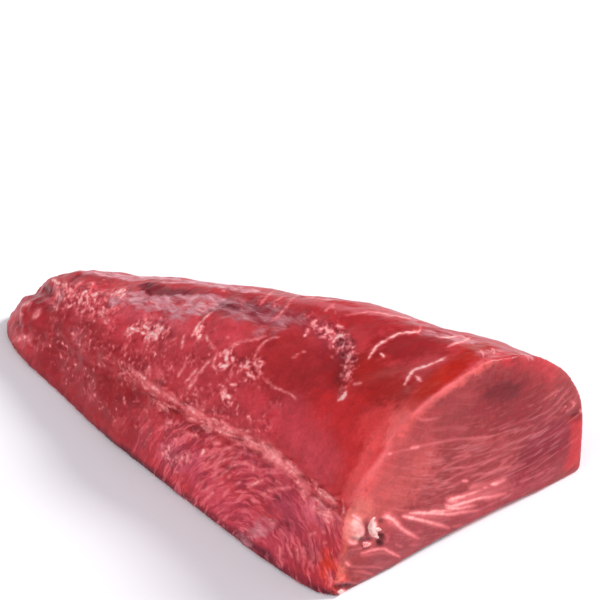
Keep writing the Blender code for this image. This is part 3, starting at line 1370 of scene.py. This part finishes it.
@dataclass(frozen=True)
class FatFinish:
    """Soft white fat, or pale torn fibre, moist and slightly clear."""

    name: str
    colour: str
    shade: str
    patch_mm: float = 2.5
    relief_mm: float = 0.3
    ior: float = 1.44
    roughness: float = 0.42
    subsurface: float = 0.3
    scatter_mm: tuple[float, float, float] = (2.0, 1.0, 0.8)
    coat: float = 0.3
    coat_roughness: float = 0.18

    def build(self) -> bpy.types.Material:
        """Makes the material.

        Returns:
            The material, mottled between its two colours.
        """
        material = blank_material(self.name)
        tree = material.node_tree
        place = add_node(tree, "ShaderNodeTexCoord").outputs["Object"]
        cloud = add_node(tree, "ShaderNodeTexNoise", None, {
            "Vector": place, "Scale": 1 / (self.patch_mm * MM), "Detail": 4.0})
        share = add_node(tree, "ShaderNodeMapRange", None,
                         {0: cloud.outputs["Fac"], 1: 0.35, 2: 0.65})
        colour = add_node(tree, "ShaderNodeMix", {"data_type": "RGBA"},
                          {0: share.outputs[0], 6: hex_to_linear(self.shade),
                           7: hex_to_linear(self.colour)})
        gloss = add_node(tree, "ShaderNodeMapRange", None,
                         {0: cloud.outputs["Fac"], 1: 0.3, 2: 0.7, 3: self.roughness - 0.08,
                          4: self.roughness + 0.08})
        height = add_node(tree, "ShaderNodeMath", {"operation": "MULTIPLY"},
                          {0: cloud.outputs["Fac"], 1: self.relief_mm * MM})
        bump = add_node(tree, "ShaderNodeBump", None,
                        {"Strength": 1.0, "Distance": 1.0, "Height": height.outputs[0]})
        shader = add_node(tree, "ShaderNodeBsdfPrincipled", None, {
            "Base Color": colour.outputs[2], "Roughness": gloss.outputs[0],
            "Normal": bump.outputs[0], "IOR": self.ior, "Subsurface Weight": self.subsurface,
            "Subsurface Radius": tuple(v * MM for v in self.scatter_mm), "Subsurface Scale": 1.0,
            "Coat Weight": self.coat, "Coat Roughness": self.coat_roughness})
        add_node(tree, "ShaderNodeOutputMaterial", None, {"Surface": shader.outputs[0]})
        return material


@dataclass
class Surface:
    """A mesh's points and what relief and paint both need of them.

    Attributes:
        points: N x 3.
        normals: N x 3.
        zones: each point's share of the zones.
        wander: noise that makes edges uneven.
    """

    points: np.ndarray
    normals: np.ndarray
    zones: dict[Zone, np.ndarray]
    wander: np.ndarray


@dataclass
class Flesh:
    """The loin's flesh, one closed mesh that replaces the CAD node.

    Attributes:
        camera: casts the photograph's lines.
        finish: its material.
        voxel_mm: face size of the mesh before it is refined.
        refine_mm: distance from a stroke within which faces are split.
        halo: how many times wider than its core the soft edge of a stroke is.
        core_share: how much of a stroke's height its core has, the rest being the soft edge.
        reach_widths: half widths from a stroke's middle at which it ends.
        waver_mm: how far the edges of strokes stray.
        firm_share: how much of that the cut's strokes do.
        cut_plane: x beyond which faces may belong to the cut.
        side_centre: x and z of the middle of the long sides' fibre arcs.
        cut_centre: y and z of the middle of the cut's fibre arcs.
        arc_radius: radius at which distance along the arcs is measured, by zone.
        sharp_turn: degrees between faces from which an edge of the solid stays sharp.
        crease: how sharp it stays.
        beyond_far_side: y at which rays onto the far side start.
        far_step_mm: distance between them.
        patch_step_px: distance between the rays of a patch's middle line.
        patch_core: share of a patch's reach within which it is full.
        patch_stray: how far its edge strays, as a share of its reach.
        under_mm: height below which a point belongs to the underside.
    """

    camera: PhotoCamera
    finish: FleshFinish
    voxel_mm: float = 1.4
    refine_mm: float = 1.5
    halo: float = 2.1
    core_share: float = 0.74
    reach_widths: float = 4.2
    waver_mm: float = 0.42
    firm_share: float = 0.4
    cut_plane: float = 0.1475
    side_centre: tuple[float, float] = (0.098, -0.016)
    cut_centre: tuple[float, float] = (0.038, 0.180)
    arc_radius: dict[Zone, float] = field(
        default_factory=lambda: {Zone.SIDE: 0.03, Zone.FAR: 0.05, Zone.CUT: 0.07})
    sharp_turn: float = 42.0
    crease: float = 0.9
    beyond_far_side: float = 0.3
    far_step_mm: float = 2.0
    patch_step_px: float = 6.0
    patch_core: float = 0.35
    patch_stray: float = 0.28
    under_mm: float = 0.6

    def build(self) -> None:
        """Makes, refines, raises and paints the flesh."""
        piece = self.copy_solid()
        self.tree = BVHTree.FromObject(piece, bpy.context.evaluated_depsgraph_get())
        self.lines = {name: [(stroke, self.camera.flatten(self.camera.cast(self.tree, stroke.line)))
                             for stroke in group] for name, group in self.stroke_groups().items()}
        self.lines["far"] = [(stroke, self.camera.flatten(self.cast_far(stroke.line)))
                             for stroke in FAR_SINEWS]
        self.refine(piece)
        self.raise_relief(piece)
        self.flatten_underside(piece)
        self.paint(piece)
        hand_over(piece, self.finish.build())
        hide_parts(NODE)
        self.tree = BVHTree.FromObject(piece, bpy.context.evaluated_depsgraph_get())

    def stroke_groups(self) -> dict[str, tuple[Stroke, ...]]:
        """The strokes by kind."""
        return {"top": TOP_SINEWS + BRIGHT_SINEWS, "ridge": RIDGE_FIBRES, "side": SIDE_FIBRES,
                "cut": CUT_SINEWS + FAINT_CUT_SINEWS + STRONG_CUT_SINEWS + CORNER_FLESH,
                "fibre_glints": WHITE_FIBRE_GLINTS + BRIGHT_FIBRE_GLINTS + MID_FIBRE_GLINTS, "folds": FOLDS + GAPS_WITH_PAINTED_SHADE,
                "grooves": BROAD_GROOVES, "pits": CORNER_PITS, "rim": (PALE_RIM,)}

    def cast_far(self, line: Line) -> np.ndarray:
        """Casts a line of x and z in mm onto the far side.

        Args:
            line: x and z in mm.

        Returns:
            M x 3 points where it meets the form.
        """
        toward_near = Vector((0.0, -1.0, 0.0))
        return meet(self.tree, [
            (Vector((x * MM, self.beyond_far_side, z * MM)), toward_near)
            for x, z in smooth_course(np.array(line, float), self.far_step_mm)])

    def copy_solid(self) -> bpy.types.Object:
        """Copies the CAD node, rounds it and gives it even faces.

        Returns:
            The loin as one closed mesh of quads.
        """
        piece = bpy.data.objects.new("loin_flesh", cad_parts[NODE].data.copy())
        bpy.context.scene.collection.objects.link(piece)
        select_only(piece)
        bpy.ops.object.mode_set(mode="EDIT")
        bpy.ops.mesh.select_all(action="SELECT")
        bpy.ops.mesh.remove_doubles(threshold=MERGE_DISTANCE)
        bpy.ops.mesh.tris_convert_to_quads()
        bpy.ops.mesh.select_all(action="DESELECT")
        bpy.ops.mesh.edges_select_sharp(sharpness=math.radians(self.sharp_turn))
        bpy.ops.transform.edge_crease(value=self.crease)
        bpy.ops.object.mode_set(mode="OBJECT")
        apply_modifier(piece, "SUBSURF", {"levels": 2, "render_levels": 2})
        apply_modifier(piece, "REMESH", {"mode": "VOXEL", "voxel_size": self.voxel_mm * MM})
        apply_modifier(piece, "SMOOTH", {"factor": 0.5, "iterations": 2})
        return piece

    def refine(self, piece: bpy.types.Object) -> None:
        """Splits the faces on the cut and along the strokes."""
        mesh = piece.data
        centres = read_vectors(mesh.polygons, "center")
        normals = read_vectors(mesh.polygons, "normal")
        chosen = (centres[:, 0] > self.cut_plane) & (normals[:, 0] > 0.35)
        seen = self.camera.flatten(centres)
        for name in ("top", "ridge", "side", "fibre_glints", "folds", "rim", "far"):
            for _, line in self.lines[name]:
                if len(line):
                    chosen |= distance_to_line(seen, line, self.refine_mm * MM)[0] \
                        < self.refine_mm * MM
        select_faces(piece, chosen)
        bpy.ops.mesh.subdivide(number_cuts=1)
        bpy.ops.mesh.vertices_smooth(factor=0.5, repeat=1)
        bpy.ops.object.mode_set(mode="OBJECT")
        LOG.info("refined %d of %d faces", int(chosen.sum()), len(chosen))

    def zones(self, points: np.ndarray, normals: np.ndarray) -> dict[Zone, np.ndarray]:
        """How much each point belongs to the top, the sides and the cut.

        Args:
            points: N x 3.
            normals: N x 3.

        Returns:
            A share of 0 to 1 by zone.
        """
        ridge = self.camera.cast(self.tree, RIDGE)
        ridge = ridge[np.argsort(ridge[:, 0])]
        height = np.interp(points[:, 0], ridge[:, 0], ridge[:, 2])
        cut = smooth_step(normals[:, 0], 0.45, 0.75) * (points[:, 0] > self.cut_plane)
        near = smooth_step((height - points[:, 2]) / MM, -0.5, 4.0) * (points[:, 1] < 0) * (1 - cut)
        far = smooth_step(normals[:, 1], 0.35, 0.75) * (1 - cut)
        return {Zone.CUT: cut, Zone.SIDE: near, Zone.TOP: (1 - near) * (1 - cut), Zone.FAR: far,
                Zone.ANY: np.ones(len(points))}

    def survey(self, piece: bpy.types.Object) -> Surface:
        """Reads a piece's points, with their zones and their noise."""
        points, normals = read_points(piece.data)
        return Surface(points, normals, self.zones(points, normals),
                       noise_over(points, (7, 7, 7), 3.1, 3))

    def waver(self, points: np.ndarray, share: float = 1.0) -> np.ndarray:
        """Shifts points a little, so that strokes read at them get uneven edges.

        Args:
            points: N x 3.
            share: how far they are shifted, 1 for the full way.

        Returns:
            The shifted points.
        """
        shift = [noise_over(points, (2.4, 2.4, 2.4), seed, 2) for seed in (61.7, 73.1, 87.9)]
        return points + share * self.waver_mm * MM * np.column_stack(shift)

    def stroke_field(self, points: np.ndarray, names: tuple[str, ...],
                     key: str) -> np.ndarray:
        """Lays strokes over points.

        Args:
            points: N x 3.
            names: the groups of strokes.
            key: the stroke's field that gives its size.

        Returns:
            The value furthest from 0 of any stroke at each point.
        """
        strongest = np.zeros(len(points))
        points = self.camera.flatten(points)
        for name in names:
            for stroke, line in self.lines[name]:
                if not len(line):
                    continue
                width = stroke.half_width_mm * MM
                distance, share = distance_to_line(points, line, self.reach_widths * width)
                taper = np.sqrt(np.clip(np.minimum(share, 1 - share) * 5 + 0.25, 0, 1))
                near = (distance / (width * (0.45 + 0.55 * taper))) ** 2
                shape = self.core_share * np.exp(-near) \
                    + (1 - self.core_share) * np.exp(-near / self.halo ** 2)
                value = getattr(stroke, key) * shape * (0.5 + 0.5 * taper) \
                    * (1 - stroke.fade * share)
                strongest = np.where(np.abs(value) > np.abs(strongest), value, strongest)
        return strongest

    def all_strokes(self, points: np.ndarray, key: str) -> np.ndarray:
        """Joins the cut's even strokes and the uneven ones of the trimmed flesh.

        Args:
            points: N x 3.
            key: the stroke's field that gives its size.

        Returns:
            The value furthest from 0 at each point.
        """
        loose = self.stroke_field(self.waver(points), (
            "top", "ridge", "side", "fibre_glints", "folds", "grooves", "pits", "far"), key)
        firm = self.stroke_field(self.waver(points, self.firm_share), ("cut", "rim"), key)
        return np.where(np.abs(firm) > np.abs(loose), firm, loose)

    def fibre_map(self, surface: Surface) -> np.ndarray:
        """How the muscle fibres lie at each point.

        They run across the top, in arcs round a point below both long sides, and in wide
        arcs on the cut.

        Args:
            surface: the flesh's points.

        Returns:
            N x 3: distance along the fibres, across them, and in depth.
        """
        x, y, z = surface.points.T
        lay = np.column_stack([y, x + 0.35 * y, z])
        level, rise = x - self.side_centre[0], z - self.side_centre[1]
        uneven = 1.3 * MM * surface.wander
        arcs = ((Zone.FAR, level, rise, y, uneven), (Zone.SIDE, level, rise, y, uneven),
                (Zone.CUT, y - self.cut_centre[0], self.cut_centre[1] - z, x, 0.0))
        for zone, level, rise, depth, stray in arcs:
            arc = np.column_stack([np.arctan2(level, rise) * self.arc_radius[zone],
                                   np.hypot(level, rise) + stray, depth])
            inside = surface.zones[zone] > 0.5
            lay[inside] = arc[inside] + 1.0
        return lay

    def patch_field(self, surface: Surface, patch: Patch,
                    wander: np.ndarray | None = None) -> np.ndarray:
        """How much of a patch is at each point.

        Args:
            surface: the flesh's points.
            patch: the patch.
            wander: noise that makes its edge uneven, or None for the surface's own.

        Returns:
            0 to the patch's strength.
        """
        line = self.camera.cast(self.tree, patch.line, self.patch_step_px)
        if not len(line):
            return np.zeros(len(surface.points))
        reach = patch.reach_mm * MM
        distance, _ = distance_to_line(surface.points, line, 1.5 * reach)
        wander = surface.wander if wander is None else wander
        ragged = distance / reach + self.patch_stray * wander
        return patch.strength * smooth_step(ragged, 1.0, self.patch_core) \
            * surface.zones[patch.zone]

    def patches(self, surface: Surface, group: tuple[Patch, ...]) -> np.ndarray:
        """The highest value of several patches at each point."""
        return np.max([self.patch_field(surface, patch) for patch in group], axis=0)

    def raise_relief(self, piece: bpy.types.Object) -> None:
        """Moves the surface along its normals by the relief that the photograph shows."""
        surface = self.survey(piece)
        points, cut = surface.points, surface.zones[Zone.CUT]
        gap, _ = distance_to_line(points, self.camera.cast(self.tree, RIDGE), 14 * MM)
        crag = smooth_step(gap / MM, 10.0, 2.0) * (1 - cut)
        tail = smooth_step(points[:, 0], -0.10, -0.135)
        calm = 1 - 0.8 * self.patches(surface, CALM)
        foot = smooth_step(points[:, 2], 7 * MM, 1 * MM) \
            * smooth_step(surface.normals[:, 2], -0.5, 0.0) * (1 - cut)
        # Height in mm, where, grain in mm, seed and octaves
        layers = ((0.18, surface.zones[Zone.TOP] * calm, (2.6, 7.0, 7.0), 11.3, 2),
                  (0.45, (1 - cut) * calm, (13, 13, 13), 5.7, 3),
                  (1.0, crag, (7.0, 3.0, 3.0), 23.9, 3),
                  (0.7, tail, (5.5, 5.5, 5.5), 41.2, 2),
                  (0.14, surface.zones[Zone.SIDE], (3.0, 3.0, 9.0), 17.1, 2),
                  (0.16, cut, (4.0, 9.0, 2.5), 31.4, 2),
                  (0.30, self.patches(surface, FLECKS_AND_GLINTS + GLINT_CLUSTERS), (2.6, 2.6, 2.6), 7.7, 2),
                  (0.5, foot, (3.0, 3.0, 3.0), 13.3, 3))
        lift = self.all_strokes(points, "lift_mm")
        for height, where, grain_mm, seed, octaves in layers:
            lift += height * where * noise_over(points, grain_mm, seed, octaves)
        lift *= smooth_step(points[:, 2], 0.3 * MM, 2.0 * MM)
        moved = points + surface.normals * lift[:, None] * MM
        moved[:, 2] = np.maximum(moved[:, 2], 0.0)
        write_points(piece.data, moved)

    def flatten_underside(self, piece: bpy.types.Object) -> None:
        """Makes the underside flat and gives it one face."""
        mesh = piece.data
        points, normals = read_points(mesh)
        flat = (points[:, 2] < self.under_mm * MM) & (normals[:, 2] < -0.8)
        points[flat, 2] = 0.0
        write_points(mesh, points)
        down = read_vectors(mesh.polygons, "normal")[:, 2] < -0.9999
        low = read_vectors(mesh.polygons, "center")[:, 2] < 1e-6
        select_faces(piece, down & low)
        bpy.ops.mesh.delete(type="FACE")
        bpy.ops.mesh.select_mode(type="EDGE")
        bpy.ops.mesh.select_all(action="DESELECT")
        bpy.ops.mesh.select_non_manifold()
        bpy.ops.mesh.edge_face_add()
        bpy.ops.object.mode_set(mode="OBJECT")

    def paint(self, piece: bpy.types.Object) -> None:
        """Paints the tint and the masks as attributes of the mesh's points."""
        surface = self.survey(piece)
        fine = noise_over(surface.points, (2.2, 2.2, 2.2), 9.4, 2)
        for name, values in self.masks(surface, fine).items():
            layer = piece.data.attributes.new(name, "FLOAT", "POINT")
            layer.data.foreach_set("value", values.astype(np.float32))
        layer = piece.data.attributes.new("fibre", "FLOAT_VECTOR", "POINT")
        layer.data.foreach_set("vector", self.fibre_map(surface).astype(np.float32).ravel())
        colours = piece.data.color_attributes.new(name="tint", type="FLOAT_COLOR", domain="POINT")
        colours.data.foreach_set("color", self.tint(surface, fine).astype(np.float32).ravel())

    def tint(self, surface: Surface, fine: np.ndarray) -> np.ndarray:
        """Lays the zones' colours and the tints over one another.

        Args:
            surface: the flesh's points.
            fine: noise of a small grain.

        Returns:
            N x 4 linear colours.
        """
        points, zones, finish = surface.points, surface.zones, self.finish
        far = zones[Zone.FAR]
        # Painted shade: the near side gets darker towards the floor
        foot = smooth_step(points[:, 2] / MM + 1.2 * fine, 6.6, 2.4) * zones[Zone.SIDE] \
            * (0.45 + 0.55 * smooth_step(points[:, 0], -0.06, 0.0))
        coats = [(far, finish.far), (zones[Zone.SIDE], finish.side), (zones[Zone.CUT], finish.cut),
                 (smooth_step(surface.normals[:, 2], -0.6, -0.9), finish.under)]
        ragged = surface.wander + 0.9 * fine
        coats += [(self.patch_field(surface, patch, ragged) * (1 - far), patch.colour)
                  for patch in TINTS]
        coats.append((0.9 * foot, finish.foot))
        tint = np.tile(np.array(hex_to_linear(finish.top)), (len(points), 1))
        for amount, code in coats:
            tint += amount[:, None] * (np.array(hex_to_linear(code)) - tint)
        return tint

    def masks(self, surface: Surface, fine: np.ndarray) -> dict[str, np.ndarray]:
        """Works out where each finish of the material shows, painted shade and painted glints among
        them.

        Args:
            surface: the flesh's points.
            fine: noise of a small grain.

        Returns:
            N values of about 0 to 1 for each mask that the material reads.
        """
        points, zones, wander = surface.points, surface.zones, surface.wander
        far, cut = zones[Zone.FAR], zones[Zone.CUT]
        clumps = smooth_step(noise_over(points, (15, 11, 11), 51.3, 2), -0.4, 0.35)
        # Pale speckles, with painted glints on their tops
        fleck_and_glint = np.maximum(self.patches(surface, FLECKS_AND_GLINTS),
                           0.35 * far * smooth_step(wander, -0.3, 0.5))
        fleck_and_glint = np.maximum(fleck_and_glint * (0.35 + 0.65 * clumps), self.patches(surface, GLINT_CLUSTERS))
        # Painted sheen along the crest's far slope, added to the film
        crest = smooth_step(surface.normals[:, 1], 0.15, 0.5) * zones[Zone.TOP] * (1 - far)
        film = np.maximum(self.patches(surface, FILM_AND_SHEEN),
                          0.3 * crest * smooth_step(points[:, 0], 0.06, -0.03)
                          * smooth_step(wander, -0.3, 0.4))
        gap, along = distance_to_line(points, self.camera.cast(self.tree, RIDGE), 12 * MM)
        fray = smooth_step(gap / MM + 2.5 * wander, 5.5, 0.8) * (1 - cut) \
            * smooth_step(along, 0.95, 0.55) * (0.4 + 0.6 * clumps)
        # Pale sinews and fibres, with painted highlights where the short white strokes and the rim
        # stand for glints
        sinew = self.all_strokes(points, "pale") * (0.92 + (0.40 - 0.26 * cut) * fine)
        # Painted shade in folds, gaps and pits, from how deep each is sunk
        dark = -1.3 * self.stroke_field(self.waver(points), ("folds", "pits"), "lift_mm")
        side = np.maximum(zones[Zone.SIDE], 0.6 * far) \
            * smooth_step(points[:, 0] + 0.01 * wander, -0.06, 0.06) * (0.45 + 0.55 * clumps)
        gap, _ = distance_to_line(points, np.array([CORE_CENTRE]), 24 * MM)
        return {"sinew": np.clip(sinew, 0, 1.2), "film": film, "fleck_and_glint": fleck_and_glint, "fray": fray,
                "side": side, "cut": cut * (0.25 + 0.75 * self.patches(surface, STREAKED)),
                "core": cut * smooth_step(gap / MM, 17.0, 5.0), "dark": np.clip(dark, 0, 1)}


def tube(name: str, course: np.ndarray, radii: np.ndarray) -> bpy.types.Object:
    """Makes a closed strand along a line.

    Args:
        name: the object's name.
        course: M x 3, its middle line.
        radii: M radii.

    Returns:
        The strand as a mesh.
    """
    curve = bpy.data.curves.new(name, "CURVE")
    curve.dimensions = "3D"
    curve.bevel_depth = 1.0
    curve.bevel_resolution = 2
    curve.use_fill_caps = True
    spline = curve.splines.new("POLY")
    spline.points.add(len(course) - 1)
    for point, place, radius in zip(spline.points, course, radii):
        point.co = (*place, 1.0)
        point.radius = radius
    strand = bpy.data.objects.new(name, curve)
    bpy.context.scene.collection.objects.link(strand)
    select_only(strand)
    bpy.ops.object.convert(target="MESH")
    strand = bpy.context.object
    bpy.ops.object.mode_set(mode="EDIT")
    bpy.ops.mesh.select_all(action="SELECT")
    bpy.ops.mesh.remove_doubles(threshold=MERGE_DISTANCE)
    bpy.ops.mesh.normals_make_consistent(inside=False)
    bpy.ops.object.mode_set(mode="OBJECT")
    return strand


@dataclass
class SmallPieces:
    """Fat and loose fibres that sit on the flesh.

    Attributes:
        camera: casts the photograph's lines.
        tree: the finished flesh's faces.
        step_px: distance between the rays of a strand's middle line.
        thinnest_mm: the least radius of a strand.
    """

    camera: PhotoCamera
    tree: BVHTree
    step_px: float = 1.2
    thinnest_mm: float = 0.02

    def strand(self, name: str, line: Line, radii_mm: tuple[float, ...],
               lifts_mm: tuple[float, ...]) -> bpy.types.Object:
        """Lays one strand on the flesh.

        Args:
            name: the object's name.
            line: its course in photograph pixels.
            radii_mm: radii at even steps along it.
            lifts_mm: heights of its middle above the flesh, at even steps.

        Returns:
            The strand.
        """
        course = self.camera.cast(self.tree, line, self.step_px)
        places = []
        share = np.linspace(0, 1, len(course))
        lifts = np.interp(share, np.linspace(0, 1, len(lifts_mm)), lifts_mm)
        radii = np.interp(share, np.linspace(0, 1, len(radii_mm)), radii_mm)
        for point, lift in zip(course, lifts):
            place, normal, _, _ = self.tree.find_nearest(Vector(point))
            places.append(np.array(place + normal * lift * MM))
        return tube(name, np.array(places), np.maximum(radii, self.thinnest_mm) * MM)

    def group(self, name: str, rows: tuple[tuple, ...], finish: FatFinish,
              lumps_mm: float) -> None:
        """Makes strands of one finish into one piece.

        Args:
            name: the piece's name.
            rows: line, radii and lifts of each strand.
            finish: its material.
            lumps_mm: height of its lumps.
        """
        parts = [self.strand(f"{name}.{index}", *row) for index, row in enumerate(rows)]
        bpy.ops.object.select_all(action="DESELECT")
        for part in parts:
            part.select_set(True)
        bpy.context.view_layer.objects.active = parts[0]
        if len(parts) > 1:
            bpy.ops.object.join()
        piece = bpy.context.view_layer.objects.active
        piece.name = name
        apply_modifier(piece, "SUBSURF", {"levels": 1, "render_levels": 1})
        points, normals = read_points(piece.data)
        lift = lumps_mm * MM * noise_over(points, (1.6, 1.6, 1.6), 19.3, 2)
        moved = points + normals * lift[:, None]
        moved[:, 2] = np.maximum(moved[:, 2], 0.0)
        piece.data.vertices.foreach_set("co", moved.astype(np.float32).ravel())
        hand_over(piece, finish.build())

    def build(self) -> None:
        """Makes the fat at the cut's corner and the torn fibres."""
        self.group("corner_fat", CORNER_FAT,
                   FatFinish("soft_white_fat_moist", "#e8c3ba", "#cf948e"), 0.2)
        self.group("corner_pink_fat", CORNER_PINK,
                   FatFinish("pink_fat_moist", "#ef9c96", "#d5646a"), 0.25)
        self.group("torn_fibres", TORN_FIBRES,
                   FatFinish("torn_sinew_ends_moist", "#ee8c8a", "#d65e64", coat=0.08), 0.15)


@dataclass
class Studio:
    """Plain pale floor and soft light.

    Attributes:
        floor_size: side of the floor.
        ambient: brightness of the air around.
        flag_toward: the middle of the dark flag, seen from the loin.
        flag_edge: cosines off its middle at which it starts and is full.
        flag_share: how much light the flag lets through.
        floor_drop_mm: how far the floor is below the loin.
    """

    floor_size: float = 12.0
    ambient: float = 0.92
    flag_toward: tuple[float, float, float] = (-0.72, 0.35, 0.60)
    flag_edge: tuple[float, float] = (0.35, 0.85)
    flag_share: float = 0.25
    floor_drop_mm: float = 0.1
    floor_colour: str = "#f7f6f7"
    air_colour: str = "#f0f0f8"

    def build(self) -> None:
        """Makes the floor, the air and the lights."""
        self.build_floor()
        self.build_air()
        lights = (("key", (0.28, 0.72, 0.50), 3.3, 22.0, "#ffffff"),
                  ("front_fill", (0.10, -1.0, 0.60), 0.80, 60.0, "#fff6f8"),
                  ("back_strip", (-0.87, 0.36, 0.30), 0.06, 9.0, "#ffffff"))
        for name, toward, strength, width, code in lights:
            bpy.ops.object.light_add(type="SUN", location=Vector(toward) * 2)
            light = bpy.context.object
            light.name = name
            light.rotation_euler = Vector(toward).to_track_quat("Z", "Y").to_euler()
            light.data.energy = strength
            light.data.angle = math.radians(width)
            light.data.color = hex_to_linear(code)[:3]
            LOG.info("light %s", name)
        settings = bpy.context.scene.view_settings
        settings.view_transform = "Standard"
        settings.look = "None"
        settings.exposure = 0.0
        settings.gamma = 1.0

    def build_floor(self) -> None:
        """Lays the floor a hair below the loin."""
        bpy.ops.object.select_all(action="DESELECT")
        bpy.ops.mesh.primitive_plane_add(size=self.floor_size,
                                         location=(0, 0, -self.floor_drop_mm * MM))
        floor = bpy.context.object
        floor.name = "studio_floor"
        material = bpy.data.materials.new("white_card_matt")
        material.use_nodes = True
        shader = material.node_tree.nodes["Principled BSDF"]
        shader.inputs["Base Color"].default_value = hex_to_linear(self.floor_colour)
        shader.inputs["Roughness"].default_value = 0.9
        shader.inputs["Specular IOR Level"].default_value = 0.1
        floor.data.materials.append(material)
        LOG.info("floor laid")

    def build_air(self) -> None:
        """Makes a faintly mauve surround, with a dark flag behind the tail end.

        The flag keeps the reflection on the near slope dark, so that its red stays deep.
        """
        world = bpy.data.worlds.new("studio_air")
        world.use_nodes = True
        tree = world.node_tree
        tree.nodes.clear()
        way = add_node(tree, "ShaderNodeTexCoord").outputs["Generated"]
        toward = tuple(Vector(self.flag_toward).normalized())
        facing = add_node(tree, "ShaderNodeVectorMath", {"operation": "DOT_PRODUCT"},
                          {0: way, 1: toward})
        strength = add_node(tree, "ShaderNodeMapRange", {"interpolation_type": "SMOOTHSTEP"},
                            {0: facing.outputs["Value"], 1: self.flag_edge[0],
                             2: self.flag_edge[1], 3: self.ambient,
                             4: self.ambient * self.flag_share})
        air = add_node(tree, "ShaderNodeBackground", None,
                       {"Color": hex_to_linear(self.air_colour), "Strength": strength.outputs[0]})
        add_node(tree, "ShaderNodeOutputWorld", None, {"Surface": air.outputs[0]})
        bpy.context.scene.world = world


def main() -> None:
    """Builds the camera, the flesh and its small pieces, and the studio."""
    logging.basicConfig(level=logging.INFO, format="%(name)s %(message)s")
    camera = PhotoCamera()
    camera.build()
    flesh = Flesh(camera, FleshFinish())
    flesh.build()
    SmallPieces(camera, flesh.tree).build()
    Studio().build()


if __name__ == "__main__":
    main()
